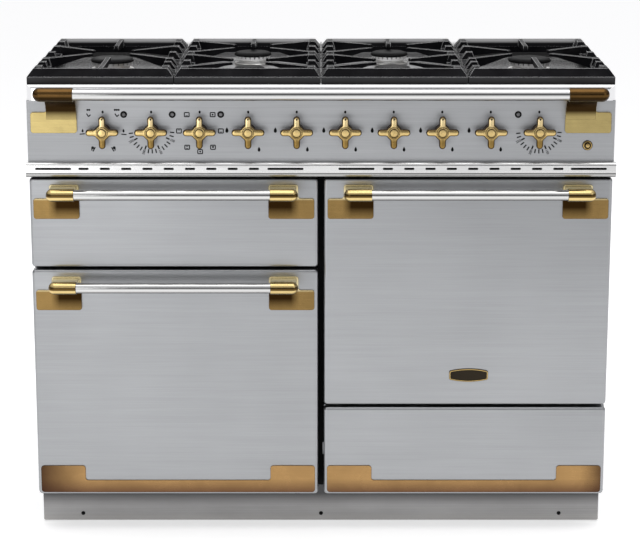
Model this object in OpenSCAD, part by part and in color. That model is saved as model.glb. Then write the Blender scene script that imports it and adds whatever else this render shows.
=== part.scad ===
// Dual fuel range cooker, 110 cm wide. Millimetres, +Z up, fronts facing -Y.
// The origin is on the floor, under the middle of the cooker's box.

/* [Cooker] */
// Width of the body and of its fronts
cooker_w = 1092; // [1060:1:1140]
// Depth from the door faces to the rear edge of the hob
cooker_d = 600; // [585:1:640]
// Height of the hob's polished edge above the floor
hob_z = 878; // [870:1:900]
// Thickness of the sheet steel
sheet = 2; // [1.5:0.1:2.5]
// Clear height under the floor pan, where the feet are
base_z = 80; // [76:1:86]
// Corner radius of the doors, seen from the front
front_r = 7; // [5:0.5:9]

/* [Fronts] */
// Height of the doors' lower edge
door_bottom = 77; // [72:1:80]
// Gap between fronts, one above the other
front_gap = 5; // [4.5:0.1:6]
// Gap between the left and right columns
centre_gap = 11; // [9:0.5:14]
// Height of the grill door
grill_door_h = 172; // [168:1:178]
// Height of the storage drawer's front
drawer_front_h = 175.5; // [170:0.5:180]
// Depth of the outer panel of a door
outer_t = 22; // [20:1:24]
// Whole thickness of a door
door_t = 42; // [40:1:46]

/* [Control panel] */
// Height of the vent trim
vent_h = 28; // [26:1:30]
// How far the vent trim stands out
vent_reach = 18; // [14:1:20]
// How far the vent trim passes the body on each side
vent_side = 3; // [2:0.5:4]
// Height of the control panel
panel_h = 115; // [112:1:120]
// How far the control panel stands in front of the doors
panel_reach = 4; // [3:0.5:6]
// Height of the hob's polished front edge
nosing_h = 30; // [28:1:32]

/* [Handles] */
// Diameter of the door handle rods
rod_d = 20; // [18:0.5:21]
// Distance from a door's face to the middle of its rod
rod_reach = 50; // [46:1:54]
// Diameter of the top rail
rail_d = 22; // [20:0.5:23]
// Distance from the control panel to the middle of the top rail
rail_reach = 54; // [52:1:58]
// Wall of the brass caps round the rods
cap_wall = 2; // [1.8:0.1:3]
// Width of a handle bracket's plate
plate_w = 86; // [82:1:90]
// Height of a handle bracket's plate
plate_h = 39; // [36:1:42]
// Width of a handle bracket's neck
neck_w = 56; // [52:1:60]
// Thickness of a handle bracket's plate
plate_t = 3; // [2.5:0.1:4]

/* [Knobs] */
// Body's side to the row of knobs
knob_margin = 96; // [92:1:110]
// Knob size from tip to tip
knob_tip = 61; // [58:0.5:64]
// Width of a knob's arm
knob_arm_w = 12.5; // [11.5:0.1:13.5]
// Thickness of a knob's arms
knob_arm_t = 9; // [8:0.5:10]
// How far a knob stands from the panel, to the back of its arms
knob_stand = 15; // [13:0.5:17]
// Diameter of the spindles
spindle_d = 7.8; // [7.6:0.1:8.2]

/* [Oven] */
// Width of the oven mouths
oven_w = 430; // [400:1:440]
// Depth of the ovens, from mouth to fan baffle
oven_d = 405; // [380:1:410]
// Corner radius of the oven mouths
oven_r = 22; // [18:1:28]
// Diameter of the fan impellers
fan_d = 130; // [120:1:140]

/* [Hob] */
// Depth of the four pan supports
support_d = 450; // [440:1:460]
// Height of a pan support's top above the hob's edge
support_h = 27; // [25:1:29]
// Depth of the hob well under its edge
well_depth = 10; // [8:1:12]
// Distance of the outer burners from the middle
outer_burner_x = 409.5; // [405:0.5:410]

/* [Hidden] */

$fn = 48;
eps = 0.01;
play = 0.1;            // running clearance of a pin or shaft in its bore
clear = 0.3;           // clearance between pieces of different bodies

steel = [0.72, 0.74, 0.77];
polished = [0.9, 0.91, 0.92];
brass = [0.78, 0.64, 0.36];
iron = [0.1, 0.1, 0.11];
dark = [0.16, 0.16, 0.17];
enamel = [0.22, 0.22, 0.24];
aluminium = [0.75, 0.75, 0.74];

half_w = cooker_w / 2;
rail_front = panel_reach + rail_reach + rail_d / 2 + cap_wall;
face_y = (rail_front - cooker_d) / 2;           // plane of the door faces
rear_inset = 15;                                // rear panel, ahead of the hob's rear edge
frame_gap = 3;                                  // seal gap between a door and the frame
frame_y = face_y + door_t + frame_gap;          // front of the front frame
rear_y = face_y + cooker_d - rear_inset;        // rear of the rear panel
panel_y = face_y - panel_reach;                 // front of the control panel

nosing_z = hob_z - nosing_h;                    // lower edge of the hob's front
vent_top_z = nosing_z - panel_h;
vent_z = vent_top_z - vent_h;
vent_gap = 4;
fronts_top = vent_z - vent_gap;
door_w = (cooker_w - centre_gap) / 2;
column_x = centre_gap / 2 + door_w / 2;         // middle of a column of fronts
grill_door_z = fronts_top - grill_door_h;
left_door_h = grill_door_z - front_gap - door_bottom;
right_door_z = door_bottom + drawer_front_h + front_gap;
right_door_h = fronts_top - right_door_z;

sill = 55;                                      // door's lower edge to the oven mouth
head = 44;                                      // oven mouth to the door's upper edge
grill_sill = 34;
grill_head = 20;
left_oven_z = door_bottom + sill;
left_oven_h = left_door_h - sill - head;
right_oven_z = right_door_z + sill;
right_oven_h = right_door_h - sill - head;
grill_z = grill_door_z + grill_sill;
grill_h = grill_door_h - grill_sill - grill_head;
liner_y = frame_y + sheet;                      // front of the oven liners
baffle_y = liner_y + oven_d;                    // front of the fan baffles
fan_room = 36;                                  // depth of the fan chamber

pin_r = 4;
pivot_in = 9;                                   // hinge pin behind the face and above the edge
lug_t = 8;
lug_arm = 10;
slot_w = lug_t + 2;
hinge_inset = 40;
block_w = slot_w + 20;

rod_r = rod_d / 2;
cap_r = rod_r + cap_wall;
rail_r = rail_d / 2;
rail_cap_r = rail_r + cap_wall;
plate_inset = 7;                                // bracket plate to the door's side edge
plate_drop = 39;                                // door's upper edge to the plate's upper edge
rod_drop = 23;                                  // door's upper edge to the rod's middle
rail_z = hob_z - 11;
rail_plate_z = rail_z - rail_reach + 13;        // upper edge of the rail's plates
rail_cap_l = 74;

knob_z = vent_top_z + panel_h / 2;
knob_count = 10;
spindle_r = spindle_d / 2;
spindle_depth = 34;                             // spindle behind the panel's front
lens_side = 39;
lens_up = 31;
lens_d = 10;
button_x = half_w - 50;
button_down = 27;
button_d = 9.6;
button_travel = 3;

support_w = cooker_w / 4;
support_gap = 1.5;
support_front = 4;                              // front of the pan supports behind the doors' face
support_z = hob_z + clear;                      // underside of the pan supports
well_z = hob_z - well_depth;
inner_burner_x = support_w / 2;
middle_burner_d = support_front + support_d / 2;
outer_burner_d = middle_burner_d + 15;
front_burner_d = middle_burner_d - 103;
rear_burner_d = middle_burner_d + 103;

// Burners: [x, distance behind the door faces, radius of the cap]
BURNERS = [
    [-outer_burner_x, outer_burner_d, 42],
    [-inner_burner_x, front_burner_d, 29],
    [-inner_burner_x, rear_burner_d, 37],
    [inner_burner_x, front_burner_d, 35],
    [inner_burner_x, rear_burner_d, 37],
    [outer_burner_x, outer_burner_d, 42]
];
crown_t = 13;
cap_t = 8;
burner_flange = 5;

drawer_gap = 6;                                 // drawer box to a runner's web
runner_w = 12;
drawer_inner_l = sheet / 2;
drawer_inner_r = half_w - sheet;
drawer_box_x0 = drawer_inner_l + runner_w + drawer_gap;
drawer_box_x1 = drawer_inner_r - runner_w - drawer_gap;
drawer_box_z = door_bottom + 18;
drawer_box_h = drawer_front_h - 56;
drawer_box_d = 440;
runner_z = drawer_box_z + drawer_box_h / 2;
runner_h = 30;
slide_h = runner_h - 6 - 2 * clear;             // height of a drawer slide
slide_out = drawer_gap + runner_w - 2 - clear;  // reach of a slide beside the box

knob_pitch = (cooker_w - 2 * knob_margin) / knob_count;

function knob_x(i) = (i - (knob_count + 1) / 2) * knob_pitch;

// A rounded rectangle, its lower left corner at the origin
module rounded_rect(w, h, r) {
    translate([r, 0]) square([w - 2 * r, h]);
    translate([0, r]) square([w, h - 2 * r]);
    for (x = [r, w - r], z = [r, h - r]) translate([x, z]) circle(r);
}

// Stands an XZ outline up, filling from y = 0 to y = t
module upright(t) {
    translate([0, t, 0]) rotate([90, 0, 0]) linear_extrude(t) children();
}

// Extrudes a (Y, Z) outline along X, from x = 0 to x = w
module along_x(w) {
    rotate([90, 0, 90]) linear_extrude(w) children();
}

// A cylinder along +Y
module rod_y(r, l) {
    rotate([-90, 0, 0]) cylinder(r = r, h = l);
}

// A cylinder along +X
module rod_x(r, l) {
    rotate([0, 90, 0]) cylinder(r = r, h = l);
}

// Pressed outer panel of a door or drawer: rounded edges, open at the back
module pressed_front(w, h) {
    edge_r = min(front_r, outer_t / 3);
    difference() {
        hull() {
            for (x = [front_r, w - front_r], z = [front_r, h - front_r]) {
                translate([x, edge_r, z]) rotate([-90, 0, 0])
                    cylinder(r = front_r, h = outer_t - edge_r, $fn = 32);
                translate([x, 0, z]) rotate([-90, 0, 0])
                    cylinder(r = front_r - edge_r * 0.55, h = 1, $fn = 32);
                translate([x, edge_r * 0.3, z]) rotate([-90, 0, 0])
                    cylinder(r = front_r - edge_r * 0.12, h = 1, $fn = 32);
            }
        }
        translate([sheet, sheet, sheet]) cube([w - 2 * sheet, outer_t, h - 2 * sheet]);
    }
}

// Where the two hinge slots of a door are, from its left edge
function slot_x(w) = [hinge_inset, w - hinge_inset];

// Cuts the two hinge slots out of a door's lower inner corners
module hinge_slots(w) {
    for (x = slot_x(w)) {
        translate([x - slot_w / 2, sheet + clear, -1])
            cube([slot_w, door_t + 20, pivot_in + lug_arm / 2 + 4]);
    }
}

module door_panel(x, z, w, h) {
    color(steel) translate([x, face_y, z]) difference() {
        pressed_front(w, h);
        translate([0, 0, -1]) for (sx = slot_x(w)) {
            translate([sx - slot_w / 2, sheet + clear, 0]) cube([slot_w, outer_t, sheet + 2]);
        }
    }
}

// Enamelled inner panel with the plug that enters the oven mouth, its hinge blocks and pins
module door_inner(x, z, w, h, low, high, mouth_w) {
    wall = 3;
    rim_d = door_t - outer_t;
    plug_gap = 5;
    plug_t = 6;
    plug_x = (w - mouth_w) / 2 + plug_gap;
    plug_z = low + plug_gap;
    plug_w = mouth_w - 2 * plug_gap;
    plug_h = h - low - high - 2 * plug_gap;
    color(enamel) translate([x, face_y, z]) {
        difference() {
            union() {
                difference() {
                    translate([0, outer_t, 0]) upright(rim_d) rounded_rect(w, h, front_r);
                    translate([wall, outer_t - eps, wall])
                        cube([w - 2 * wall, rim_d - sheet + eps, h - 2 * wall]);
                    translate([plug_x + sheet, door_t - 2 * sheet, plug_z + sheet]) upright(3 * sheet)
                        rounded_rect(plug_w - 2 * sheet, plug_h - 2 * sheet, oven_r / 2 - sheet);
                }
                translate([plug_x, door_t - eps, plug_z]) difference() {
                    upright(plug_t) rounded_rect(plug_w, plug_h, oven_r / 2);
                    translate([sheet, -1, sheet]) upright(plug_t + 1 - sheet)
                        rounded_rect(plug_w - 2 * sheet, plug_h - 2 * sheet, oven_r / 2 - sheet);
                }
                for (sx = slot_x(w)) {
                    translate([sx - block_w / 2, sheet, sheet])
                        cube([block_w, door_t - sheet - eps, pivot_in + 21]);
                }
            }
            hinge_slots(w);
        }
        for (sx = slot_x(w)) {
            translate([sx - slot_w / 2 - 6, pivot_in, pivot_in]) rod_x(pin_r, slot_w + 12);
        }
    }
}

// A polished handle rod along X between x0 and x1, at height z
module handle_rod(x0, x1, y, z, r) {
    color(polished) translate([x0, y, z]) rod_x(r, x1 - x0);
}

// Brass cap over a rod's end: closed and domed at x = 0, open at x = l
module rod_cap(r, cr, l) {
    dome = cr * 0.92;
    rotate([0, 90, 0]) rotate_extrude() difference() {
        union() {
            translate([0, dome]) square([cr, l - dome]);
            intersection() {
                translate([0, cr]) circle(cr);
                square([cr, dome]);
            }
        }
        translate([0, cr]) square([r + play, l]);
    }
}

// Plate of a bracket: lower bar with the neck above its inner end, its top corners rounded by neck_r
module bracket_plate(rise, neck_r) {
    r = 5;
    upright(plate_t) difference() {
        union() {
            translate([0, -plate_h]) rounded_rect(plate_w, plate_h, r);
            translate([plate_w - neck_w, -3 * r]) rounded_rect(neck_w, rise + 3 * r, neck_r);
            translate([plate_w - neck_w - r, -eps]) square([r + eps, r + eps]);
        }
        translate([plate_w - neck_w - r, r]) circle(r);
    }
}

// Door handle bracket, its outer end at x = 0 and the plate's upper edge at z = 0
module door_bracket() {
    rise = plate_drop - rod_drop;
    arm_top = rise + cap_r - 5;
    arm_t = 6;
    bend = 9;
    neck_x = plate_w - neck_w;
    cap_l = neck_w - 4;
    arm_in = 4;
    difference() {
        union() {
            translate([0, -plate_t, 0]) bracket_plate(arm_top + 3.5, 5);
            translate([neck_x + arm_in, 0, 0]) along_x(neck_w - 2 * arm_in) difference() {
                union() {
                    translate([-rod_reach, arm_top - arm_t]) square([rod_reach, arm_t]);
                    translate([-plate_t - bend, arm_top - arm_t - bend])
                        square([plate_t + bend, bend + 1]);
                }
                translate([-plate_t - bend, arm_top - arm_t - bend]) circle(bend);
            }
            translate([neck_x, -rod_reach, rise]) rod_cap(rod_r, cap_r, cap_l);
        }
        translate([neck_x + cap_r, -rod_reach, rise]) rod_x(rod_r + play, neck_w);
    }
}

// Top rail bracket: its neck curls up and forward under the hob's edge to the rail
module rail_bracket() {
    rise = rail_z - rail_plate_z;
    neck_t = 7;
    neck_x = plate_w - neck_w;
    curl = rail_reach - 0.5;
    difference() {
        union() {
            translate([0, -plate_t, 0]) bracket_plate(4, 0.5);
            translate([neck_x, 0, 0]) along_x(neck_w) intersection() {
                translate([-rail_reach, rise - curl]) difference() {
                    circle(curl, $fn = 96);
                    circle(curl - neck_t, $fn = 96);
                }
                translate([-rail_reach, rise - curl]) square([curl - 0.4, curl]);
            }
            translate([plate_w - rail_cap_l, -rail_reach, rise])
                rod_cap(rail_r, rail_cap_r, rail_cap_l);
        }
        translate([plate_w - rail_cap_l + rail_cap_r, -rail_reach, rise])
            rod_x(rail_r + play, rail_cap_l);
    }
}

// A pair of brackets, the right one mirrored
module bracket_pair(x0, x1, y, z) {
    color(brass) {
        translate([x0, y, z]) children();
        translate([x1, y, z]) mirror([1, 0, 0]) children();
    }
}

// Handle brackets of a door whose left edge is at x and upper edge at z
module door_brackets(x, top) {
    bracket_pair(x + plate_inset, x + door_w - plate_inset, face_y, top - plate_drop)
        door_bracket();
}

module door_rod(x, top) {
    end = plate_inset + plate_w - neck_w + cap_r;
    handle_rod(x + end, x + door_w - end, face_y - rod_reach, top - rod_drop, rod_r);
}

// U-shaped brass trim along a front's lower edge
module brass_trim(x, z) {
    side = 6;
    low = 4.5;
    w = door_w - 2 * side;
    end_w = 86;
    end_h = 54;
    bar_h = 24.5;
    r = 6;
    inner_r = 5;
    trim_t = 1.5;
    color(brass) translate([x + side, face_y - trim_t, z + low]) upright(trim_t) {
        difference() {
            union() {
                rounded_rect(w, bar_h + r, r);
                rounded_rect(end_w, end_h, r);
                translate([w - end_w, 0]) rounded_rect(end_w, end_h, r);
            }
            translate([end_w, bar_h]) rounded_rect(w - 2 * end_w, end_h, inner_r);
        }
    }
}

// Sheet steel floor, centre divider, top rails and the plinth's tabs
module base_frame() {
    floor_d = rear_y - sheet - liner_y;
    rail_w = 24;
    tab_w = 30;
    tab_z = 8;
    color(dark) {
        difference() {
            union() {
                translate([-half_w + sheet, liner_y, base_z])
                    cube([cooker_w - 2 * sheet, floor_d, sheet]);
                translate([-sheet / 2, liner_y, base_z])
                    cube([sheet, floor_d, vent_top_z - base_z]);
                for (y = [liner_y, rear_y - sheet - rail_w]) {
                    translate([-half_w + sheet, y, vent_top_z - sheet])
                        cube([cooker_w - 2 * sheet, rail_w, sheet]);
                }
                for (x = plinth_screws()) {
                    translate([x - tab_w / 2, plinth_y() + sheet, tab_z])
                        cube([tab_w, sheet, base_z - tab_z + eps]);
                }
            }
            for (x = plinth_screws()) {
                translate([x, plinth_y(), screw_z()]) rod_y(2.1, 3 * sheet);
            }
            for (p = foot_places()) translate([p[0], p[1], base_z - 1]) cylinder(r = 6, h = sheet + 2);
        }
    }
}

function plinth_y() = face_y + 57;
function screw_z() = 17;
function plinth_screws() = [-half_w + 78, 0, half_w - 78];
function foot_places() = [
    for (x = [-half_w + 60, half_w - 60], y = [face_y + 110, rear_y - 60]) [x, y]
];

// Levelling feet: a rubbered pad, a hexagon and a threaded stem through the floor pan
module levelling_feet() {
    pad_h = 12;
    color(dark) for (p = foot_places()) translate([p[0], p[1], 0]) {
        rotate_extrude() polygon([[0, 0], [20, 0], [21, 2], [21, 7], [15, pad_h], [0, pad_h]]);
        translate([0, 0, pad_h - eps]) cylinder(r = 9, h = 8, $fn = 6);
        translate([0, 0, pad_h]) cylinder(r = 5, h = base_z - pad_h + 14);
        translate([0, 0, base_z - 6]) cylinder(r = 10, h = 6, $fn = 6);
    }
}

// Plinth panel: a folded front with a short return at each end
module plinth_panel() {
    floor_gap = 3;
    return_d = 40;
    h = base_z - floor_gap - 6;
    color([0.62, 0.61, 0.59]) translate([-half_w, plinth_y(), floor_gap]) difference() {
        union() {
            linear_extrude(h) difference() {
                union() {
                    translate([4, 0]) square([cooker_w - 8, 4]);
                    translate([0, 4]) square([cooker_w, return_d - 4]);
                    for (x = [4, cooker_w - 4]) translate([x, 4]) circle(4);
                }
                translate([sheet, sheet]) square([cooker_w - 2 * sheet, return_d]);
            }
        }
        for (x = plinth_screws()) {
            translate([half_w + x, -1, screw_z() - floor_gap]) rod_y(2.1, 3 * sheet);
        }
    }
}

// Side panels with a flange turned in along the top, the bottom and the back
module side_panel() {
    d = rear_y - sheet - liner_y;
    flange = 14;
    translate([half_w - sheet, liner_y, base_z]) cube([sheet, d, nosing_z - base_z]);
    translate([half_w - flange, liner_y + 26, nosing_z - sheet]) cube([flange, d - 26, sheet]);
}

module side_panels() {
    color([0.42, 0.42, 0.43]) {
        side_panel();
        mirror([1, 0, 0]) side_panel();
    }
}

// Rear panel with two fields of vent slots, the gas inlet's hole and the cable gland
module rear_panel() {
    slot_l = 120;
    color([0.6, 0.61, 0.62]) {
        difference() {
            translate([-half_w, rear_y - sheet, base_z])
                cube([cooker_w, sheet, nosing_z - base_z]);
            for (x = [-column_x, column_x], k = [0 : 5]) {
                translate([x - slot_l / 2, rear_y - 3 * sheet, vent_top_z - 40 - 14 * k])
                    upright(4 * sheet) rounded_rect(slot_l, 6, 2.9);
            }
            translate([inlet_x(), rear_y - 3 * sheet, inlet_z()]) rod_y(13, 4 * sheet);
            translate([-inlet_x(), rear_y - 3 * sheet, inlet_z()]) rod_y(8, 4 * sheet);
        }
        translate([-inlet_x(), rear_y - sheet, inlet_z()]) difference() {
            union() {
                rotate([-90, 0, 0]) cylinder(r = 12, h = sheet + 5);
                rotate([-90, 0, 0]) cylinder(r = 14, h = sheet + 2, $fn = 6);
            }
            translate([0, -1, 0]) rod_y(6.5, 12);
        }
    }
}

function inlet_x() = half_w - 70;
function inlet_z() = knob_z - 4;

// Openings of the front frame: [x, z, width, height, corner radius]
function mouths() = [
    [-column_x - oven_w / 2, left_oven_z, oven_w, left_oven_h, oven_r],
    [-column_x - oven_w / 2, grill_z, oven_w, grill_h, oven_r / 2],
    [column_x - oven_w / 2, right_oven_z, oven_w, right_oven_h, oven_r],
    [drawer_box_x0 - 4, drawer_box_z - 4,
     drawer_box_x1 - drawer_box_x0 + 8, drawer_box_h + 8, 4],
    [drawer_box_x0 - slide_out - 1.5, runner_z - slide_h / 2 - 2,
     drawer_box_x1 - drawer_box_x0 + 2 * slide_out + 3, slide_h + 4, 2]
];

// Hinge lug: an arm with a bored eye, the pin's axis at the origin
module hinge_lug() {
    eye_r = pivot_in - sheet - 0.8;
    arm_l = frame_y - face_y - pivot_in;
    difference() {
        union() {
            translate([-lug_t / 2, 0, 0]) rod_x(eye_r, lug_t);
            translate([-lug_t / 2, 0, -lug_arm / 2]) cube([lug_t, arm_l + eps, lug_arm]);
            translate([-lug_t / 2, arm_l - 1, -lug_arm / 2 - 6])
                cube([lug_t, 1 + eps, lug_arm + 12]);
        }
        translate([-lug_t, 0, 0]) rod_x(pin_r + play, 2 * lug_t);
    }
}

// Front frame with the oven mouths and the hinge lugs of the doors
module front_frame() {
    color(dark) {
        difference() {
            translate([-half_w, frame_y, base_z]) cube([cooker_w, sheet, vent_top_z - base_z]);
            for (m = mouths()) {
                translate([m[0], frame_y - 1, m[1]])
                    upright(sheet + 2) rounded_rect(m[2], m[3], m[4]);
            }
        }
        for (d = [[-column_x, door_bottom], [-column_x, grill_door_z], [column_x, right_door_z]]) {
            for (sx = slot_x(door_w)) {
                translate([d[0] - door_w / 2 + sx, face_y + pivot_in, d[1] + pivot_in]) hinge_lug();
            }
        }
    }
}

// Hob tray: polished front edge, spill well with six burner holes, vented rear deck
module hob_tray() {
    front = panel_y - 2;
    d = face_y + cooker_d - front;
    r = 12;
    nose = 9;
    rim = 14;
    side_rim = 6;
    deck_d = cooker_d - support_front - support_d - 6;
    slot_l = 42;
    color(polished) difference() {
        translate([-half_w, front, nosing_z]) intersection() {
            linear_extrude(nosing_h) rounded_rect(cooker_w, d, r);
            translate([-1, 0, 0]) along_x(cooker_w + 2) union() {
                square([nose, nosing_h - nose]);
                translate([nose, 0]) square([d - nose, nosing_h]);
                translate([nose, nosing_h - nose]) circle(nose);
            }
        }
        translate([-half_w + side_rim, front + rim, well_z]) linear_extrude(well_depth + 1)
            rounded_rect(cooker_w - 2 * side_rim, d - deck_d - rim, r);
        translate([-half_w + sheet, front + sheet, nosing_z - 1])
            linear_extrude(well_z - sheet - nosing_z + 1)
                rounded_rect(cooker_w - 2 * sheet, d - 2 * sheet, r - sheet);
        for (b = BURNERS) {
            translate([b[0], face_y + b[1], nosing_z]) cylinder(r = b[2] - 6, h = nosing_h);
        }
        for (k = [-9 : 9], row = [0, 1]) {
            translate([k * 54 - slot_l / 2, face_y + cooker_d - 36 - 14 * row, well_z - 3 * sheet])
                linear_extrude(20 * sheet) rounded_rect(slot_l, 5, 2.4);
        }
    }
}

// Control panel: a folded sheet with holes for spindles, lenses and the button
module control_panel() {
    d = frame_y - panel_y;
    color(steel) translate([-half_w, panel_y, vent_top_z]) difference() {
        cube([cooker_w, d + sheet, panel_h]);
        translate([sheet, sheet, sheet]) cube([cooker_w - 2 * sheet, d + sheet, panel_h]);
        for (i = [1 : knob_count]) {
            translate([half_w + knob_x(i), -1, panel_h / 2]) rod_y(spindle_r + 2, sheet + 2);
        }
        for (x = lens_places()) {
            translate([half_w + x, -1, panel_h / 2 + lens_up]) rod_y(lens_d / 2, sheet + 2);
        }
        translate([half_w + button_x, -1, panel_h / 2 - button_down])
            rod_y(button_d / 2 + clear, sheet + 2);
    }
}

function lens_places() = [
    knob_x(1) + lens_side, knob_x(2) + lens_side, knob_x(3) + lens_side, knob_x(10) - lens_side
];

// Indicator lenses: domed heads in front of the panel, stems through it
module indicator_lenses() {
    head_r = lens_d / 2 + 1.4;
    color([0.12, 0.08, 0.06]) for (x = lens_places()) {
        translate([x, panel_y, knob_z + lens_up]) rotate([90, 0, 0]) rotate_extrude()
            polygon([[0, 2.6], [2.8, 2.3], [5, 1.4], [head_r, 0],
                     [lens_d / 2 - play, 0], [lens_d / 2 - play, -12], [0, -12]]);
    }
}

// Cooling vent trim: a rounded channel with its row of slots
module vent_trim() {
    w = cooker_w + 2 * vent_side;
    d = frame_y - face_y + vent_reach;
    r = 6;
    slot_h = 4.2;
    long_l = 67;
    short_l = 19;
    short_pitch = (half_w - 150) / 10;
    long_x = [66, half_w - 48];
    first_short = 124.6;
    slot_z = vent_h / 2 + 2.5;
    color(polished) translate([-w / 2, face_y - vent_reach, vent_z]) difference() {
        along_x(w) union() {
            translate([r, 0]) square([d - r, vent_h]);
            translate([0, r]) square([r, vent_h - 2 * r]);
            for (z = [r, vent_h - r]) translate([r, z]) circle(r);
        }
        translate([sheet, sheet, sheet]) cube([w - 2 * sheet, d, vent_h - 2 * sheet]);
        for (side = [-1, 1]) {
            for (x = long_x) vent_slot(w / 2 + side * x, slot_z, long_l, slot_h);
            for (k = [0 : 8]) {
                vent_slot(w / 2 + side * (first_short + k * short_pitch), slot_z, short_l, slot_h);
            }
        }
    }
}

module vent_slot(x, z, l, h) {
    translate([x - l / 2, -1, z - h / 2]) upright(sheet + 2) rounded_rect(l, h, h / 2 - 0.05);
}

module rail_rod() {
    end = plate_inset + plate_w - rail_cap_l + rail_cap_r;
    handle_rod(-half_w + end, half_w - end, panel_y - rail_reach, rail_z, rail_r);
}

module rail_brackets() {
    bracket_pair(-half_w + plate_inset, half_w - plate_inset, panel_y, rail_plate_z)
        rail_bracket();
}

// Burner base: a cup under the hob, a flange with an ear on it, and the spark electrode
module burner_bases() {
    ear_r = 6;
    spark_r = 2.2;
    for (b = BURNERS) translate([b[0], face_y + b[1], well_z]) {
        seat = b[2] - 6;
        color(aluminium) difference() {
            union() {
                rotate_extrude() polygon([
                    [0, -sheet - 26], [9, -sheet - 26], [9, -sheet - 20], [seat - 12, -sheet - 18],
                    [seat - clear, -sheet - 4], [seat - clear, 0], [b[2], 0],
                    [b[2], burner_flange - 1], [b[2] - 1, burner_flange],
                    [seat - 6, burner_flange], [seat - 10, -sheet - 12], [0, -sheet - 12]
                ]);
                difference() {
                    translate([0, b[2] + 2, 0]) cylinder(r = ear_r, h = burner_flange - 1);
                    translate([0, 0, -1]) cylinder(r = b[2] - 4, h = burner_flange + 2);
                }
            }
            translate([0, 0, -sheet - 30]) cylinder(r = 3.5, h = 20);
            translate([0, b[2] + 3.5, -1]) cylinder(r = spark_r + play, h = 10);
        }
        color("white") translate([0, b[2] + 3.5, 0]) cylinder(r = spark_r, h = burner_flange + 9);
    }
}

// Burner crown: a ring of flame ports round its top edge
module burner_crowns() {
    ports = 24;
    color(aluminium) for (b = BURNERS) {
        translate([b[0], face_y + b[1], well_z + burner_flange]) difference() {
            rotate_extrude() polygon([
                [b[2] - 16, -4], [b[2] - 13.5, -4], [b[2] - 13.5, 0], [b[2] - 8, 0],
                [b[2] - 8, 3], [b[2] - 3, 6], [b[2] - 2, crown_t], [b[2] - 9, crown_t],
                [b[2] - 12, 5], [b[2] - 16, 4]
            ]);
            for (k = [0 : ports - 1]) rotate([0, 0, (k + 0.5) * 360 / ports])
                translate([b[2] - 14, -1.1, crown_t - 4]) cube([20, 2.2, 6]);
        }
    }
}

// Burner cap: a dark enamelled lid with a rounded edge
module burner_caps() {
    color(dark) for (b = BURNERS) {
        translate([b[0], face_y + b[1], well_z + burner_flange + crown_t]) rotate_extrude()
            polygon([
                [0, 0], [b[2] - 1.5, 0], [b[2], 1.5], [b[2], 3.5], [b[2] - 2, cap_t - 2.2],
                [b[2] - 6, cap_t - 0.8], [b[2] - 12, cap_t], [0, cap_t]
            ]);
    }
}

tap_size = [30, 26, 34];
tap_y = panel_y + sheet + 14;                   // front of the tap bodies
gas_rail_r = 9;
pipe_r = 4;
elbow = 11;
gas_rail_y = tap_y + tap_size[1] + gas_rail_r;
gas_rail_z = inlet_z();

// Gas rail with its inlet pipe, and one supply pipe from each tap to its burner
module gas_pipework() {
    first_x = knob_x(4) - 30;
    color([0.7, 0.72, 0.74]) {
        translate([first_x, gas_rail_y, gas_rail_z]) rod_x(gas_rail_r, inlet_x() + 12 - first_x);
        translate([inlet_x(), gas_rail_y, gas_rail_z]) rod_y(gas_rail_r - 1, rear_y - gas_rail_y + 1);
        translate([inlet_x(), rear_y, inlet_z()]) difference() {
            union() {
                rod_y(10.5, rear_inset);
                rotate([-90, 0, 0]) cylinder(r = 15.5, h = 3, $fn = 6);
            }
            translate([0, 2, 0]) rod_y(7, rear_inset);
        }
    }
    color([0.75, 0.55, 0.35]) for (k = [0 : 5]) supply_pipe(k);
}

// Supply pipe k: back from the tap, up, across, up, and back or forward to the burner
module supply_pipe(k) {
    b = BURNERS[k];
    x0 = knob_x(4 + k);
    z0 = knob_z + 13;
    z1 = z0 + 12;
    z2 = z1 + 12;
    lane = face_y + 84 + 13 * k;
    y0 = tap_y + tap_size[1];
    turn = k == 2 || k == 4 ? 16 : 0;
    yb = face_y + b[1];
    translate([x0, y0, z0]) rod_y(pipe_r, lane - y0);
    corner(x0, lane, z0, z1);
    translate([min(x0, b[0] + turn), lane, z1]) rod_x(pipe_r, abs(b[0] + turn - x0));
    corner(b[0] + turn, lane, z1, z2);
    translate([b[0] + turn, min(lane, yb), z2]) rod_y(pipe_r, abs(yb - lane));
    translate([min(b[0], b[0] + turn), yb, z2]) rod_x(pipe_r - 0.4, turn + eps);
    translate([b[0] - elbow / 2, yb - elbow / 2, z2 - elbow / 2])
        cube([elbow, elbow, well_z - sheet - 26 - z2 + elbow / 2]);
    if (turn > 0) translate([b[0] + turn - elbow / 2, yb - elbow / 2, z2 - elbow / 2]) cube(elbow);
}

// A pair of elbow fittings joined by a short upright
module corner(x, y, z0, z1) {
    translate([x - elbow / 2, y - elbow / 2, z0 - elbow / 2]) cube([elbow, elbow, z1 - z0 + elbow]);
}

// Gas taps: bodies on the rail, each bored for its spindle
module gas_taps() {
    color(brass) for (i = [4 : 9]) translate([knob_x(i), tap_y, knob_z]) difference() {
        union() {
            translate([-tap_size[0] / 2, 0, -tap_size[2] / 2]) cube(tap_size);
            rotate([90, 0, 0]) cylinder(r = spindle_r + 4, h = 8);
        }
        translate([0, -10, 0]) rod_y(spindle_r + play, 10 + panel_y + spindle_depth + 1 - tap_y);
        translate([-tap_size[0], tap_size[1] + gas_rail_r, gas_rail_z - knob_z])
            rod_x(gas_rail_r, 2 * tap_size[0]);
    }
}

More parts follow.
